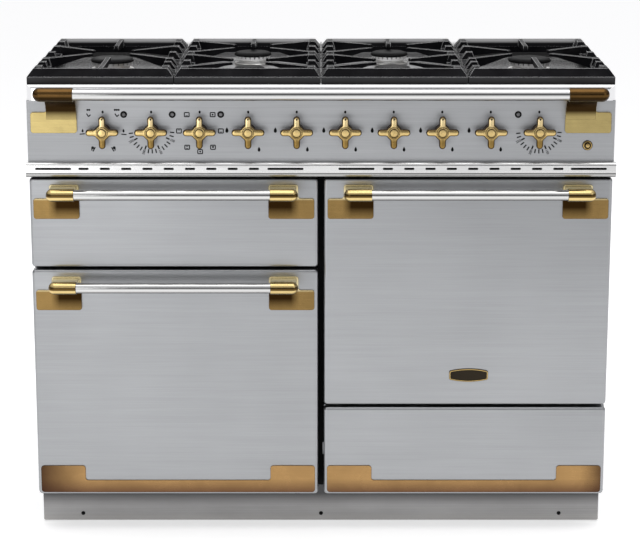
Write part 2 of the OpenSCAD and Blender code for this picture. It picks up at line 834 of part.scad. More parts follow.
// Switch and thermostat bodies behind the four oven knobs, on brackets of the panel
module oven_switches() {
    body = [44, 26, 44];
    color([0.85, 0.83, 0.78]) for (i = [1, 2, 3, 10]) translate([knob_x(i), tap_y, knob_z]) {
        difference() {
            union() {
                translate([-body[0] / 2, 0, -body[2] / 2]) cube(body);
                rotate([90, 0, 0]) cylinder(r = spindle_r + 4, h = 8);
                for (x = [-17, 17]) translate([x, 0, 0]) rotate([90, 0, 0])
                    cylinder(r = 3, h = tap_y - panel_y - sheet);
            }
            translate([0, -10, 0]) rod_y(spindle_r + play, 10 + panel_y + spindle_depth + 1 - tap_y);
        }
    }
}

// Oven liner: a rounded box open to the front, with the fan chamber behind its baffle
module oven_liner(x, z, h) {
    fan_r = fan_d / 2 + 38;
    slots = 18;
    motor_hole = 8;
    color(enamel) translate([x - oven_w / 2, liner_y, z]) {
        difference() {
            translate([-sheet, 0, -sheet])
                upright(oven_d + sheet) rounded_rect(oven_w + 2 * sheet, h + 2 * sheet, oven_r + sheet);
            translate([0, -1, 0]) upright(oven_d + 1) rounded_rect(oven_w, h, oven_r);
            translate([oven_w / 2, oven_d - 1, h / 2]) {
                for (k = [0 : slots - 1]) rotate([0, k * 360 / slots, 0])
                    translate([20, 0, -2.5]) cube([fan_d / 2 - 26, sheet + 2, 5]);
                rod_y(9, sheet + 2);
            }
        }
        translate([oven_w / 2, oven_d + sheet - eps, h / 2]) difference() {
            rod_y(fan_r, fan_room + sheet);
            translate([0, -1, 0]) rod_y(fan_r - sheet, fan_room + 1);
            rod_y(motor_hole, fan_room + 2 * sheet);
        }
    }
}

module left_oven_liner() {
    oven_liner(-column_x, left_oven_z, left_oven_h);
}

module right_oven_liner() {
    oven_liner(column_x, right_oven_z, right_oven_h);
}

// Grill chamber: a shallow liner with a pair of pan runners pressed into each side
grill_d = 380;
runner_t = 8;
grill_runner_z = 16;

module grill_chamber() {
    color(enamel) translate([-column_x - oven_w / 2, liner_y, grill_z]) {
        difference() {
            translate([-sheet, 0, -sheet]) upright(grill_d + sheet)
                rounded_rect(oven_w + 2 * sheet, grill_h + 2 * sheet, oven_r / 2 + sheet);
            translate([0, -1, 0]) upright(grill_d + 1) rounded_rect(oven_w, grill_h, oven_r / 2);
        }
        for (s = [-sheet / 2, oven_w - runner_t]) {
            translate([s, 4, grill_runner_z]) cube([runner_t + sheet / 2, grill_d - 8, 5]);
        }
    }
}

// Grill pan on its runners, with the wire trivet inside
module grill_pan() {
    gap = 1;
    w = oven_w - 2 * gap;
    d = 330;
    h = 24;
    inner_w = oven_w - 2 * runner_t - 4;
    z0 = grill_z + grill_runner_z + 5;
    color([0.25, 0.25, 0.27]) translate([-column_x, liner_y + 12, z0]) {
        difference() {
            union() {
                translate([-inner_w / 2, 0, -10]) linear_extrude(h) rounded_rect(inner_w, d, 12);
                translate([-w / 2, 0, 0]) linear_extrude(1.5) rounded_rect(w, d, 12);
            }
            translate([-inner_w / 2 + sheet, sheet, -10 + sheet]) linear_extrude(h)
                rounded_rect(inner_w - 2 * sheet, d - 2 * sheet, 10);
        }
    }
    color(polished) translate([-column_x, liner_y + 12, z0 - 10 + sheet]) wire_trivet(inner_w, d);
}

module wire_trivet(w, d) {
    side = 14;
    rise = 9;
    for (s = [-1, 1]) {
        translate([s * (w / 2 - side), side, rise]) rod_y(2.5, d - 2 * side);
        for (y = [side + 12, d - side - 12]) translate([s * (w / 2 - side), y, 0])
            cylinder(r = 2, h = rise);
    }
    for (k = [0 : 12]) {
        translate([-w / 2 + side, side + 8 + k * (d - 2 * side - 16) / 12, rise])
            rod_x(1.6, w - 2 * side);
    }
}

// Wire ladders on both side walls of each oven
ladder_out = 11;
rung_r = 2.5;
rungs = 5;
rung_first = 62;
rung_pitch = 48;

module ladder(h) {
    post_r = 3;
    for (y = [40, oven_d / 2, oven_d - 40]) translate([post_r, y, 30]) {
        cylinder(r = post_r, h = h - 60);
    }
    for (k = [0 : rungs - 1]) {
        translate([ladder_out - rung_r, 24, rung_first + k * rung_pitch]) rod_y(rung_r, oven_d - 48);
        for (y = [40, oven_d / 2, oven_d - 40]) {
            translate([post_r, y, rung_first + k * rung_pitch]) rod_x(2, ladder_out - post_r - rung_r);
        }
    }
}

module shelf_ladders() {
    color(polished) for (o = ovens()) translate([o[0], liner_y, o[1]]) {
        for (s = [0, 1]) mirror([s, 0, 0]) translate([-oven_w / 2, 0, 0]) ladder(o[2]);
    }
}

function ovens() = [
    [-column_x, left_oven_z, left_oven_h], [column_x, right_oven_z, right_oven_h]
];

// Two wire shelves in each oven, resting on the ladders' rungs
module oven_shelves() {
    color(polished) for (o = ovens(), k = [0, 2]) {
        translate([o[0], liner_y + 30, o[1] + rung_first + k * rung_pitch + rung_r]) wire_shelf();
    }
}

module wire_shelf() {
    w = oven_w - 12;
    d = oven_d - 60;
    r = 3;
    bars = 15;
    translate([-w / 2, r, r]) rod_x(r, w);
    translate([-w / 2, d - r, r]) rod_x(r, w);
    for (s = [-1, 1]) translate([s * (w / 2 - r), r, r]) rod_y(r - 0.2, d - 2 * r);
    for (k = [1 : bars]) translate([-w / 2 + k * w / (bars + 1), r, r + 0.5])
        rod_y(1.8, d - 2 * r);
}

// Grill element, left oven's top element, and a ring element round each fan
module heating_elements() {
    color([0.35, 0.33, 0.32]) {
        translate([-column_x, liner_y + 60, grill_z + grill_h - 22])
            serpentine(330, grill_d - 60);
        translate([-column_x, liner_y + 60, left_oven_z + left_oven_h - 24])
            serpentine(300, oven_d - 60);
        for (o = ovens()) {
            translate([o[0], baffle_y + sheet + fan_room / 2, o[1] + o[2] / 2])
                rotate([90, 0, 0]) {
                    rotate_extrude() translate([fan_d / 2 + 18, 0]) circle(3.2);
                    for (x = [-12, 12]) translate([x, -fan_d / 2 - 18, -fan_room / 2])
                        cylinder(r = 2.6, h = fan_room / 2);
                }
        }
    }
}

// Looped element lying in XY, its two tails running back
module serpentine(w, l) {
    r = 3.5;
    loops = 5;
    pitch = w / loops;
    for (k = [0 : loops]) {
        translate([-w / 2 + k * pitch, 0, 0])
            rod_y(r, k == 0 || k == loops ? l : l - pitch);
    }
    for (k = [0 : loops - 1]) {
        front = k % 2 == 0;
        translate([-w / 2 + (k + 0.5) * pitch, front ? 0 : l - pitch, 0])
            rotate([0, 0, front ? 180 : 0]) rotate_extrude(angle = 180)
                translate([pitch / 2, 0]) circle(r);
    }
}

// Fan motors behind the ovens, their spindle bushes in line with the impellers.
// Each motor takes half of the room between its oven and the rear panel
fan_shaft_r = 4;
motor_y = baffle_y + 2 * sheet + fan_room;
motor_l = (rear_y - sheet - motor_y) / 2;
shaft_in = 0.55 * motor_l;

module fan_motors() {
    color([0.7, 0.7, 0.7]) for (o = ovens()) {
        translate([o[0], motor_y, o[1] + o[2] / 2]) difference() {
            union() {
                translate([-28, 2, -28]) cube([56, motor_l, 56]);
                rod_y(7.5, 4);
                for (x = [-36, 36]) translate([x, 0, 0]) rod_y(4, 6);
                translate([-42, 4, -6]) cube([84, 2, 12]);
            }
            translate([0, -1, 0]) rod_y(fan_shaft_r + play, shaft_in + 6);
        }
    }
}

// Fan impeller: back plate, blades and the shaft that runs into the motor
module fan(o) {
    blades = 14;
    blade_l = 20;
    plate_y = baffle_y + sheet + 6;
    hub_l = 12;
    color(aluminium) translate([o[0], plate_y, o[1] + o[2] / 2]) {
        rod_y(fan_d / 2, 1.5);
        rod_y(10, hub_l);
        rod_y(fan_shaft_r, motor_y + shaft_in - plate_y);
        for (k = [0 : blades - 1]) rotate([0, k * 360 / blades, 0])
            translate([fan_d / 2 - 22, 1, 0]) rotate([0, 25, 0]) cube([21, blade_l, 1.5]);
    }
}

module left_oven_fan() {
    fan(ovens()[0]);
}

module right_oven_fan() {
    fan(ovens()[1]);
}

// Drawer runners: channels on the divider and on the side panel
module drawer_runners() {
    h = runner_h;
    lip = runner_w - 2;
    color([0.7, 0.72, 0.74]) for (side = [0, 1]) {
        translate([side == 0 ? drawer_inner_l : drawer_inner_r, liner_y, runner_z - h / 2])
            mirror([side, 0, 0]) difference() {
                cube([runner_w, drawer_box_d, h]);
                translate([2, -1, 3]) cube([lip + 1, drawer_box_d + 2, h - 6]);
            }
    }
}

// Drawer box: tray, front plate behind the drawer's front, and a slide along each side
module drawer_box() {
    w = drawer_box_x1 - drawer_box_x0;
    back_y = face_y + outer_t;
    plate_edge = 0.5;
    color([0.55, 0.56, 0.58]) {
        difference() {
            translate([drawer_box_x0, back_y, drawer_box_z]) cube([w, drawer_box_d, drawer_box_h]);
            translate([drawer_box_x0 + sheet, back_y + sheet, drawer_box_z + sheet])
                cube([w - 2 * sheet, drawer_box_d - 2 * sheet, drawer_box_h]);
        }
        translate([column_x - door_w / 2 + plate_edge, back_y, door_bottom + plate_edge]) difference() {
            cube([door_w - 2 * plate_edge, sheet, drawer_front_h - 2 * plate_edge]);
            translate([drawer_box_x0 - column_x + door_w / 2 - plate_edge, -1,
                       drawer_box_z - door_bottom - plate_edge])
                cube([w, sheet + 2, drawer_box_h]);
        }
        for (side = [0, 1]) {
            translate([side == 0 ? drawer_box_x0 : drawer_box_x1, liner_y, runner_z - slide_h / 2])
                mirror([1 - side, 0, 0]) cube([slide_out, drawer_box_d - 40, slide_h]);
        }
    }
}

module drawer_front() {
    color(steel) translate([column_x - door_w / 2, face_y, door_bottom])
        pressed_front(door_w, drawer_front_h);
}

module drawer_trim() {
    brass_trim(column_x - door_w / 2, door_bottom);
}

// A cast brass cross knob with its spindle, facing -Y from the panel
module knob(i) {
    arm_r = knob_arm_w / 2;
    hub_r = 14.6;
    fillet = 5;
    fillet_y = arm_r + fillet;
    fillet_x = sqrt(pow(hub_r + fillet, 2) - pow(fillet_y, 2));
    ring_r = 10;
    back = knob_stand;
    front = knob_stand + knob_arm_t;
    color(brass) translate([knob_x(i), panel_y, knob_z]) rotate([90, 0, 0]) {
        difference() {
            translate([0, 0, back]) linear_extrude(knob_arm_t) union() {
                for (a = [0, 90]) rotate(a) {
                    translate([-knob_tip / 2 + arm_r, -arm_r]) square([knob_tip - 2 * arm_r, 2 * arm_r]);
                    for (s = [-1, 1]) translate([s * (knob_tip / 2 - arm_r), 0]) circle(arm_r);
                }
                circle(hub_r);
                for (a = [0 : 90 : 270], m = [0, 1]) rotate(a) mirror([0, m]) difference() {
                    polygon([[0, 0], [fillet_x, 0], [fillet_x, fillet_y]]);
                    translate([fillet_x, fillet_y]) circle(fillet);
                }
            }
            translate([0, 0, front - 1.6]) rotate_extrude() translate([ring_r, 0]) square([1.4, 4]);
        }
        rotate_extrude() polygon([
            [0, front], [ring_r - 1, front], [ring_r - 3, front + 1.6], [4, front + 2.4],
            [0, front + 2.6]
        ]);
        rotate_extrude() polygon([
            [0, back + 1], [10.5, back + 1], [10.5, back - 5], [13.5, back - 9],
            [14.5, 2.5], [13.5, 1], [0, 1]
        ]);
        translate([0, 0, -spindle_depth]) cylinder(r = spindle_r, h = spindle_depth + 2);
    }
}

module knob_1() { knob(1); }
module knob_2() { knob(2); }
module knob_3() { knob(3); }
module knob_4() { knob(4); }
module knob_5() { knob(5); }
module knob_6() { knob(6); }
module knob_7() { knob(7); }
module knob_8() { knob(8); }
module knob_9() { knob(9); }
module knob_10() { knob(10); }

// Ignition button: a domed plunger in front of the panel, its stem and collar behind
module ignition_button() {
    color(brass) translate([button_x, panel_y, knob_z - button_down]) rotate([90, 0, 0])
        rotate_extrude() polygon([
            [0, button_travel + 3], [button_d / 2 - 1.2, button_travel + 2.6],
            [button_d / 2, button_travel + 1.4], [button_d / 2, -sheet - clear],
            [button_d / 2 + 2, -sheet - clear], [button_d / 2 + 2, -sheet - clear - 2],
            [3, -sheet - clear - 2], [3, -14], [0, -14]
        ]);
}

rim_h = 12;                                     // height of a pan support's upright rim
rim_lean = 11;                                  // how far its sides lean in above the rim
bar_w = 21;                                     // width of its front and rear bars
rail_w = 28;                                    // width of its side rails
inner_lean = 5;                                 // how far their inner faces lean above the rim
support_top = support_h - clear;

// A fin of a pan support, tapering from its root at x = 0 to its tip at x = l
module fin(l, root_w, tip_w, root_h, tip_h, round_r) {
    intersection() {
        translate([0, root_w / 2, 0]) rotate([90, 0, 0]) linear_extrude(root_w) difference() {
            polygon([
                [0, support_top - root_h], [0, support_top], [l, support_top],
                [l, support_top - tip_h], [l * 0.8, support_top - tip_h - 1]
            ]);
            translate([l - round_r, support_top - round_r]) difference() {
                square(round_r + 1);
                circle(round_r);
            }
        }
        linear_extrude(support_h + 5)
            polygon([[0, -root_w / 2], [l, -tip_w / 2], [l, tip_w / 2], [0, root_w / 2]]);
    }
}

// A child drawn along +x, moved to the point a and turned towards the point b
module towards(a, b) {
    translate([a[0], a[1], 0]) rotate([0, 0, atan2(b[1] - a[1], b[0] - a[0])]) children();
}

// Four fins that slant in from the side rails to a burner
// b is [x, y, front roots' y, rear roots' y, tips' distance along x, tips' distance along y]
module slanted_fins(w, b) {
    for (side = [0, 1], rear = [0, 1]) {
        root = [side == 0 ? rail_w - 7 : w - rail_w + 7, b[2 + rear]];
        tip = [b[0] + (side * 2 - 1) * b[4], b[1] + (rear * 2 - 1) * b[5]];
        towards(root, tip) fin(norm(tip - root), 12, 7, 20, 5.5, 2);
    }
}

// A short fin with a rounded end, standing on the front or rear bar
module middle_fin(a, b) {
    towards(a, b) fin(norm([b[0] - a[0], b[1] - a[1]]), 8.5, 8.5, 17, 9, 7);
}

// Outline of a bar's two sloped faces across a length l, from the rim up
function sloped(l, lean, top) =
    [[0, -1], [0, rim_h], [lean, top], [l - lean, top], [l, rim_h], [l, -1]];

// Frame of a pan support: four bars that lean in above the rim, the side ones castellated
module support_frame(w, notches) {
    slope = 3;
    foot_w = 6.5;
    foot_d = 10;
    hole_w = w - 2 * rail_w;
    hole_d = support_d - 2 * bar_w;
    over = support_h + 1;
    hole_lean = -inner_lean * (over - rim_h) / (support_top - rim_h);
    difference() {
        intersection() {
            along_x(w) polygon(sloped(support_d, rim_lean, support_top));
            upright(support_d) polygon(sloped(w, rim_lean, support_top));
            cube([w, support_d, support_h]);
        }
        translate([rail_w, bar_w, 0]) intersection() {
            translate([-rail_w, 0, 0]) along_x(w) polygon(sloped(hole_d, hole_lean, over));
            translate([0, -bar_w, 0]) upright(support_d) polygon(sloped(hole_w, hole_lean, over));
        }
        for (n = notches) translate([-1, 0, 0]) along_x(w + 2) polygon([
            [n[0], rim_h], [n[1], rim_h], [n[1] + slope, over], [n[0] - slope, over]
        ]);
    }
    for (x = [foot_w, w - 2 * foot_w], y = [18, support_d - 18 - foot_d]) {
        translate([x, y, -well_depth]) cube([foot_w, foot_d, well_depth + 1]);
    }
}

// Pan support n over its burners, each given as slanted_fins() takes them
module pan_support(n, burners, middles, notches) {
    w = support_w - support_gap;
    x = -half_w + (n - 1) * support_w + support_gap / 2;
    color(iron) translate([x, face_y + support_front, support_z]) {
        support_frame(w, notches);
        for (b = burners) slanted_fins(w, b);
        for (m = middles) middle_fin([m[0], m[1]], [m[0], m[2]]);
    }
}

// Notches on both sides of the raised blocks, which are given as [middle, half length]
function between_blocks(blocks) = [
    for (k = [0 : len(blocks)])
        [k == 0 ? bar_w + 3 : blocks[k - 1][0] + blocks[k - 1][1],
         k == len(blocks) ? support_d - bar_w - 3 : blocks[k][0] - blocks[k][1]]
];

// One burner in the middle of an outer pan support
single_d = outer_burner_d - support_front;
single_spread = 86;
outer_shift = support_w * 1.5 - outer_burner_x;

module single_support(n, shift) {
    x = (support_w - support_gap) / 2 + shift;
    roots = [single_d - single_spread, single_d + single_spread];
    pan_support(
        n,
        [[x, single_d, roots[0], roots[1], 38, 22]],
        [[x, bar_w - 6, single_d - 72], [x, support_d - bar_w + 6, single_d + 78]],
        between_blocks([
            [47, 11], [104, 9], [roots[0], 12], [single_d, 10], [roots[1], 12], [support_d - 50, 13]
        ])
    );
}

// Two burners one behind the other in an inner pan support
module double_support(n) {
    x = (support_w - support_gap) / 2;
    front_d = front_burner_d - support_front;
    rear_d = rear_burner_d - support_front;
    roots = [front_d - 77, front_d + 82, rear_d - 82, rear_d + 78];
    pan_support(
        n,
        [[x, front_d, roots[0], roots[1], 33, 22], [x, rear_d, roots[2], roots[3], 36, 24]],
        [[x, support_d - bar_w + 6, rear_d + 24]],
        between_blocks([
            [roots[0], 12.5], [front_d, 11], [roots[1], 12], [roots[2], 12], [rear_d, 11],
            [roots[3], 12]
        ])
    );
}

module pan_support_1() { single_support(1, outer_shift); }
module pan_support_2() { double_support(2); }
module pan_support_3() { double_support(3); }
module pan_support_4() { single_support(4, -outer_shift); }

left_x = -column_x - door_w / 2;
right_x = column_x - door_w / 2;
left_door_top = door_bottom + left_door_h;

module grill_door_panel() {
    door_panel(left_x, grill_door_z, door_w, grill_door_h);
}
module grill_door_inner() {
    door_inner(left_x, grill_door_z, door_w, grill_door_h, grill_sill, grill_head, oven_w);
}
module grill_door_rod() { door_rod(left_x, fronts_top); }
module grill_door_brackets() { door_brackets(left_x, fronts_top); }

module left_oven_door_panel() {
    door_panel(left_x, door_bottom, door_w, left_door_h);
}
module left_oven_door_inner() {
    door_inner(left_x, door_bottom, door_w, left_door_h, sill, head, oven_w);
}
module left_oven_door_rod() { door_rod(left_x, left_door_top); }
module left_oven_door_brackets() { door_brackets(left_x, left_door_top); }
module left_oven_door_trim() { brass_trim(left_x, door_bottom); }

module right_oven_door_panel() {
    door_panel(right_x, right_door_z, door_w, right_door_h);
}
module right_oven_door_inner() {
    door_inner(right_x, right_door_z, door_w, right_door_h, sill, head, oven_w);
}
module right_oven_door_rod() { door_rod(right_x, fronts_top); }
module right_oven_door_brackets() { door_brackets(right_x, fronts_top); }

base_frame();
levelling_feet();
plinth_panel();
side_panels();
rear_panel();
front_frame();
hob_tray();
control_panel();
vent_trim();
rail_rod();
rail_brackets();
indicator_lenses();
burner_bases();
burner_crowns();
burner_caps();
gas_pipework();
gas_taps();
oven_switches();
left_oven_liner();
right_oven_liner();
grill_chamber();
shelf_ladders();
oven_shelves();
heating_elements();
fan_motors();
grill_pan();
drawer_runners();
knob_1();
knob_2();
knob_3();
knob_4();
knob_5();
knob_6();
knob_7();
knob_8();
knob_9();
knob_10();
ignition_button();
pan_support_1();
pan_support_2();
pan_support_3();
pan_support_4();
left_oven_fan();
right_oven_fan();
drawer_front();
drawer_box();
drawer_trim();
grill_door_panel();
grill_door_inner();
grill_door_rod();
grill_door_brackets();
left_oven_door_panel();
left_oven_door_inner();
left_oven_door_rod();
left_oven_door_brackets();
left_oven_door_trim();
right_oven_door_panel();
right_oven_door_inner();
right_oven_door_rod();
right_oven_door_brackets();
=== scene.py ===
import math

import bmesh
import bpy
from mathutils import Euler, Matrix, Vector


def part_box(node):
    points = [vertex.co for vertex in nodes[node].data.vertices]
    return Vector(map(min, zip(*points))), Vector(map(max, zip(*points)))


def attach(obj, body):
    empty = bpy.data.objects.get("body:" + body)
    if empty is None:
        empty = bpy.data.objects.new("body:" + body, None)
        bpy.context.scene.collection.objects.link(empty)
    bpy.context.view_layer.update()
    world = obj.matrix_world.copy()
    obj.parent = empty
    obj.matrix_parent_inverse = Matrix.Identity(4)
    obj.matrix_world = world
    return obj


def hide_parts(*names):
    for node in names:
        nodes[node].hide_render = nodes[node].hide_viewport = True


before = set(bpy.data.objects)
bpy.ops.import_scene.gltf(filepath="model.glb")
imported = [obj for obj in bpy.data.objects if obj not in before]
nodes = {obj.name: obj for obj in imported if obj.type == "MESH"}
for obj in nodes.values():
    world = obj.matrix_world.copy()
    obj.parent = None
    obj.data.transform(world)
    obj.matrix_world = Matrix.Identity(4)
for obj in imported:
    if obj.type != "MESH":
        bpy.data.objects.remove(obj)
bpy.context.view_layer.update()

MM = 0.001


def corners(node):
    """Lowest and highest corner of a CAD node, in millimetres."""
    low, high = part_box(node)
    return low / MM, high / MM


panel_low, panel_high = corners("control_panel")
PANEL_Y = panel_low.y
KNOB_Z = (panel_low.z + panel_high.z) / 2
KNOB_PITCH = 90.0
SUPPORT_W = 274.5                               # width of a pan support with its gap
SUPPORT_TOP = corners("pan_support_1")[1].z
SUPPORT_FRONT = corners("pan_support_1")[0].y
MARK_PROUD = 0.1                                # how far a printed mark stands out of the panel
MARK_DEEP = 0.05                                # how far it reaches into the panel
BODY = "cooker_body"


def knob_x(number):
    """Middle of a knob, from 1 on the left to 10 on the right."""
    return (number - 5.5) * KNOB_PITCH


# Shader graphs

class Graph:
    """A node material with short calls to add and link its nodes."""

    def __init__(self, name):
        self.mat = bpy.data.materials.new(name)
        self.mat.use_nodes = True
        self.tree = self.mat.node_tree
        self.shader = self.tree.nodes["Principled BSDF"]
        coord = self.tree.nodes.new("ShaderNodeTexCoord")
        self.point = coord.outputs["Object"]
        self.facing = coord.outputs["Normal"]

    def constants(self, **values):
        for key, value in values.items():
            self.shader.inputs[key.replace("_", " ")].default_value = value

    def add(self, kind, **settings):
        node = self.tree.nodes.new(kind)
        for key, value in settings.items():
            setattr(node, key, value)
        return node

    def link(self, source, target):
        self.tree.links.new(source, target)

    def to_shader(self, source, socket):
        self.link(source, self.shader.inputs[socket])

    def scaled(self, x, y, z):
        node = self.add("ShaderNodeMapping")
        node.inputs["Scale"].default_value = (x, y, z)
        self.link(self.point, node.inputs["Vector"])
        return node.outputs["Vector"]

    def noise(self, vector, scale=1.0, detail=3.0, rough=0.55, distortion=0.0):
        node = self.add("ShaderNodeTexNoise")
        node.inputs["Scale"].default_value = scale
        node.inputs["Detail"].default_value = detail
        node.inputs["Roughness"].default_value = rough
        node.inputs["Distortion"].default_value = distortion
        self.link(vector, node.inputs["Vector"])
        return node.outputs["Fac"]

    def cells(self, vector, scale, feature="F1", output="Distance"):
        node = self.add("ShaderNodeTexVoronoi", feature=feature)
        node.inputs["Scale"].default_value = scale
        self.link(vector, node.inputs["Vector"])
        return node.outputs[output]

    def ramp(self, source, low, high, to_low=0.0, to_high=1.0):
        node = self.add("ShaderNodeMapRange")
        node.inputs["From Min"].default_value = low
        node.inputs["From Max"].default_value = high
        node.inputs["To Min"].default_value = to_low
        node.inputs["To Max"].default_value = to_high
        self.link(source, node.inputs["Value"])
        return node.outputs["Result"]

    def math(self, operation, a, b):
        node = self.add("ShaderNodeMath", operation=operation)
        for socket, value in zip(node.inputs, (a, b)):
            if isinstance(value, (int, float)):
                socket.default_value = value
            else:
                self.link(value, socket)
        return node.outputs["Value"]

    def mix(self, factor, first, second):
        node = self.add("ShaderNodeMix", data_type="RGBA")
        for name, value in (("A", first), ("B", second)):
            socket = next(s for s in node.inputs if s.name == name and s.type == "RGBA")
            if isinstance(value, tuple):
                socket.default_value = (*value, 1.0)
            else:
                self.link(value, socket)
        self.link(factor, node.inputs[0])
        return next(s for s in node.outputs if s.type == "RGBA")

    def bump(self, height, distance, strength=1.0, base=None):
        node = self.add("ShaderNodeBump")
        node.inputs["Distance"].default_value = distance
        node.inputs["Strength"].default_value = strength
        self.link(height, node.inputs["Height"])
        if base:
            self.link(base, node.inputs["Normal"])
        self.to_shader(node.outputs["Normal"], "Normal")
        return node

    def axis(self, index, vector=None):
        node = self.add("ShaderNodeSeparateXYZ")
        self.link(vector or self.point, node.inputs["Vector"])
        return node.outputs[index]

    def rounded(self, radius):
        """The normal, turned near every edge as if the edge was rounded."""
        node = self.add("ShaderNodeBevel", samples=4)
        node.inputs["Radius"].default_value = radius * MM
        return node.outputs["Normal"]

    def edges(self, radius, low=0.992, high=0.945, upper=False):
        """1 within a radius of an edge, 0 on flat faces; upper leaves out what doesn't face up."""
        geometry = self.add("ShaderNodeNewGeometry")
        node = self.add("ShaderNodeVectorMath", operation="DOT_PRODUCT")
        turned_normal = self.rounded(radius)
        self.link(turned_normal, node.inputs[0])
        self.link(geometry.outputs["Normal"], node.inputs[1])
        found = self.ramp(node.outputs["Value"], low, high)
        if upper:
            found = self.math("MULTIPLY", found, self.ramp(self.axis(2, turned_normal), 0.1, 0.3))
        return found


def brushed(name, light, shade, rough, along=(5.0, 900.0, 900.0), wide=(2.4, 120.0, 120.0)):
    """Brushed steel, its lines running along X."""
    g = Graph(name)
    g.constants(Metallic=1.0, Anisotropic=0.35)
    fine = g.noise(g.scaled(*along), 1.0, 4.0, 0.7)
    broad = g.noise(g.scaled(*wide), 1.0, 3.0, 0.6)
    cloud = g.noise(g.point, 4.5, 3.0, 0.5)
    lines = g.math("ADD", g.math("MULTIPLY", fine, 0.7), g.math("MULTIPLY", broad, 0.3))
    tone = g.math("ADD", g.math("MULTIPLY", lines, 0.75), g.math("MULTIPLY", cloud, 0.25))
    g.to_shader(g.mix(g.ramp(tone, 0.32, 0.68), shade, light), "Base Color")
    g.to_shader(g.ramp(tone, 0.3, 0.7, rough + 0.07, rough - 0.05), "Roughness")
    g.bump(lines, 0.00006, 0.5)
    return g.mat


def polished(name, colour, rough=0.07, below=None):
    """Polished steel; below is a painted shade and reflection tone where it faces down, and a darker band
    where it faces about straight forward is a painted dark reflection.
    """
    g = Graph(name)
    g.constants(Metallic=1.0)
    smear = g.noise(g.scaled(3.0, 30.0, 30.0), 1.0, 4.0, 0.6)
    fine = g.noise(g.scaled(14.0, 900.0, 900.0), 1.0, 3.0, 0.6)
    darker = tuple(c * 0.9 for c in colour)
    base = g.mix(g.ramp(smear, 0.35, 0.7), darker, colour)
    if below:
        up = g.axis(2, g.facing)
        # painted dark reflection: a darker band where the surface faces about straight forward
        painted_dark_band = g.ramp(g.math("ABSOLUTE", g.math("SUBTRACT", up, 0.08), 0.0), 0.26, 0.12)
        base = g.mix(painted_dark_band, base, tuple(c * 0.62 for c in colour))
        # painted shade and reflection: the below tone where the surface faces down
        base = g.mix(g.ramp(up, -0.3, -0.9), base, below)
    g.to_shader(base, "Base Color")
    g.to_shader(g.ramp(smear, 0.3, 0.7, rough + 0.05, rough), "Roughness")
    g.bump(fine, 0.00002, 0.35)
    return g.mat


def vent_steel(low):
    """Polished steel of the vent trim: bright face; the grey lip along its lower edge, the dark line at
    its crease and the near-black band along its bottom are painted shade.
    """
    g = Graph("vent_steel")
    g.constants(Metallic=1.0)
    smear = g.noise(g.scaled(3.0, 30.0, 30.0), 1.0, 4.0, 0.6)
    fine = g.noise(g.scaled(14.0, 900.0, 900.0), 1.0, 3.0, 0.6)
    face = g.mix(g.ramp(smear, 0.35, 0.7), (0.68, 0.68, 0.675), (0.80, 0.80, 0.795))
    lip = g.mix(g.ramp(smear, 0.35, 0.7), (0.36, 0.36, 0.355), (0.44, 0.44, 0.435))
    # painted shade: the lip along the lower edge in grey
    base = g.mix(g.ramp(g.axis(2), (low + 7.6) * MM, (low + 6.8) * MM), face, lip)
    # painted shade: a dark line along the crease
    from_crease = g.math("ABSOLUTE", g.math("SUBTRACT", g.axis(2), (low + 7.8) * MM), 0.0)
    base = g.mix(g.ramp(from_crease, 0.0011, 0.0007), base, (0.16, 0.16, 0.16))
    # painted shadow: a near-black band along the bottom edge
    base = g.mix(g.ramp(g.axis(2), (low + 2.2) * MM, (low + 1.4) * MM), base, (0.01, 0.01, 0.01))
    g.to_shader(base, "Base Color")
    g.to_shader(g.ramp(smear, 0.3, 0.7, 0.29, 0.24), "Roughness")
    g.bump(fine, 0.00002, 0.35)
    return g.mat


def hob_steel():
    """Polished front edge and satin well with the marks of wiping; a darker satin towards the outer
    burners is a painted reflection of the black supports, and a near-black strip under each gap between
    the supports is painted shade.
    """
    g = Graph("hob_steel")
    front = g.ramp(g.axis(1), -0.2585, -0.2565, 1.0, 0.0)
    g.to_shader(g.ramp(front, 0.0, 1.0, 0.45, 1.0), "Metallic")
    brush = g.noise(g.scaled(5.0, 700.0, 700.0), 1.0, 4.0, 0.7)
    wipe = g.noise(g.scaled(2.5, 5.0, 5.0), 2.2, 4.0, 0.6, 1.6)
    tone = g.math("ADD", g.math("MULTIPLY", brush, 0.55), g.math("MULTIPLY", wipe, 0.45))
    satin = g.mix(g.ramp(tone, 0.35, 0.65), (0.50, 0.50, 0.51), (0.70, 0.70, 0.705))
    # painted reflection of the black pan supports: a darker satin towards the outer burners
    painted_dark_satin = g.mix(g.ramp(tone, 0.35, 0.65), (0.13, 0.13, 0.132), (0.24, 0.24, 0.243))
    satin = g.mix(g.ramp(g.math("ABSOLUTE", g.axis(0), 0.0), 0.22, 0.33), satin, painted_dark_satin)
    # painted shade: a near-black strip under each gap between the pan supports
    joint = g.math("PINGPONG", g.axis(0), SUPPORT_W / 2 * MM)
    satin = g.mix(g.ramp(joint, 0.0012, 0.0022), (0.015, 0.014, 0.013), satin)
    g.to_shader(g.mix(front, satin, (0.86, 0.86, 0.87)), "Base Color")
    rough = g.ramp(tone, 0.3, 0.7, 0.28, 0.2)
    g.to_shader(g.math("SUBTRACT", rough, g.math("MULTIPLY", front, 0.13)), "Roughness")
    g.bump(brush, 0.00004, 0.5)
    return g.mat


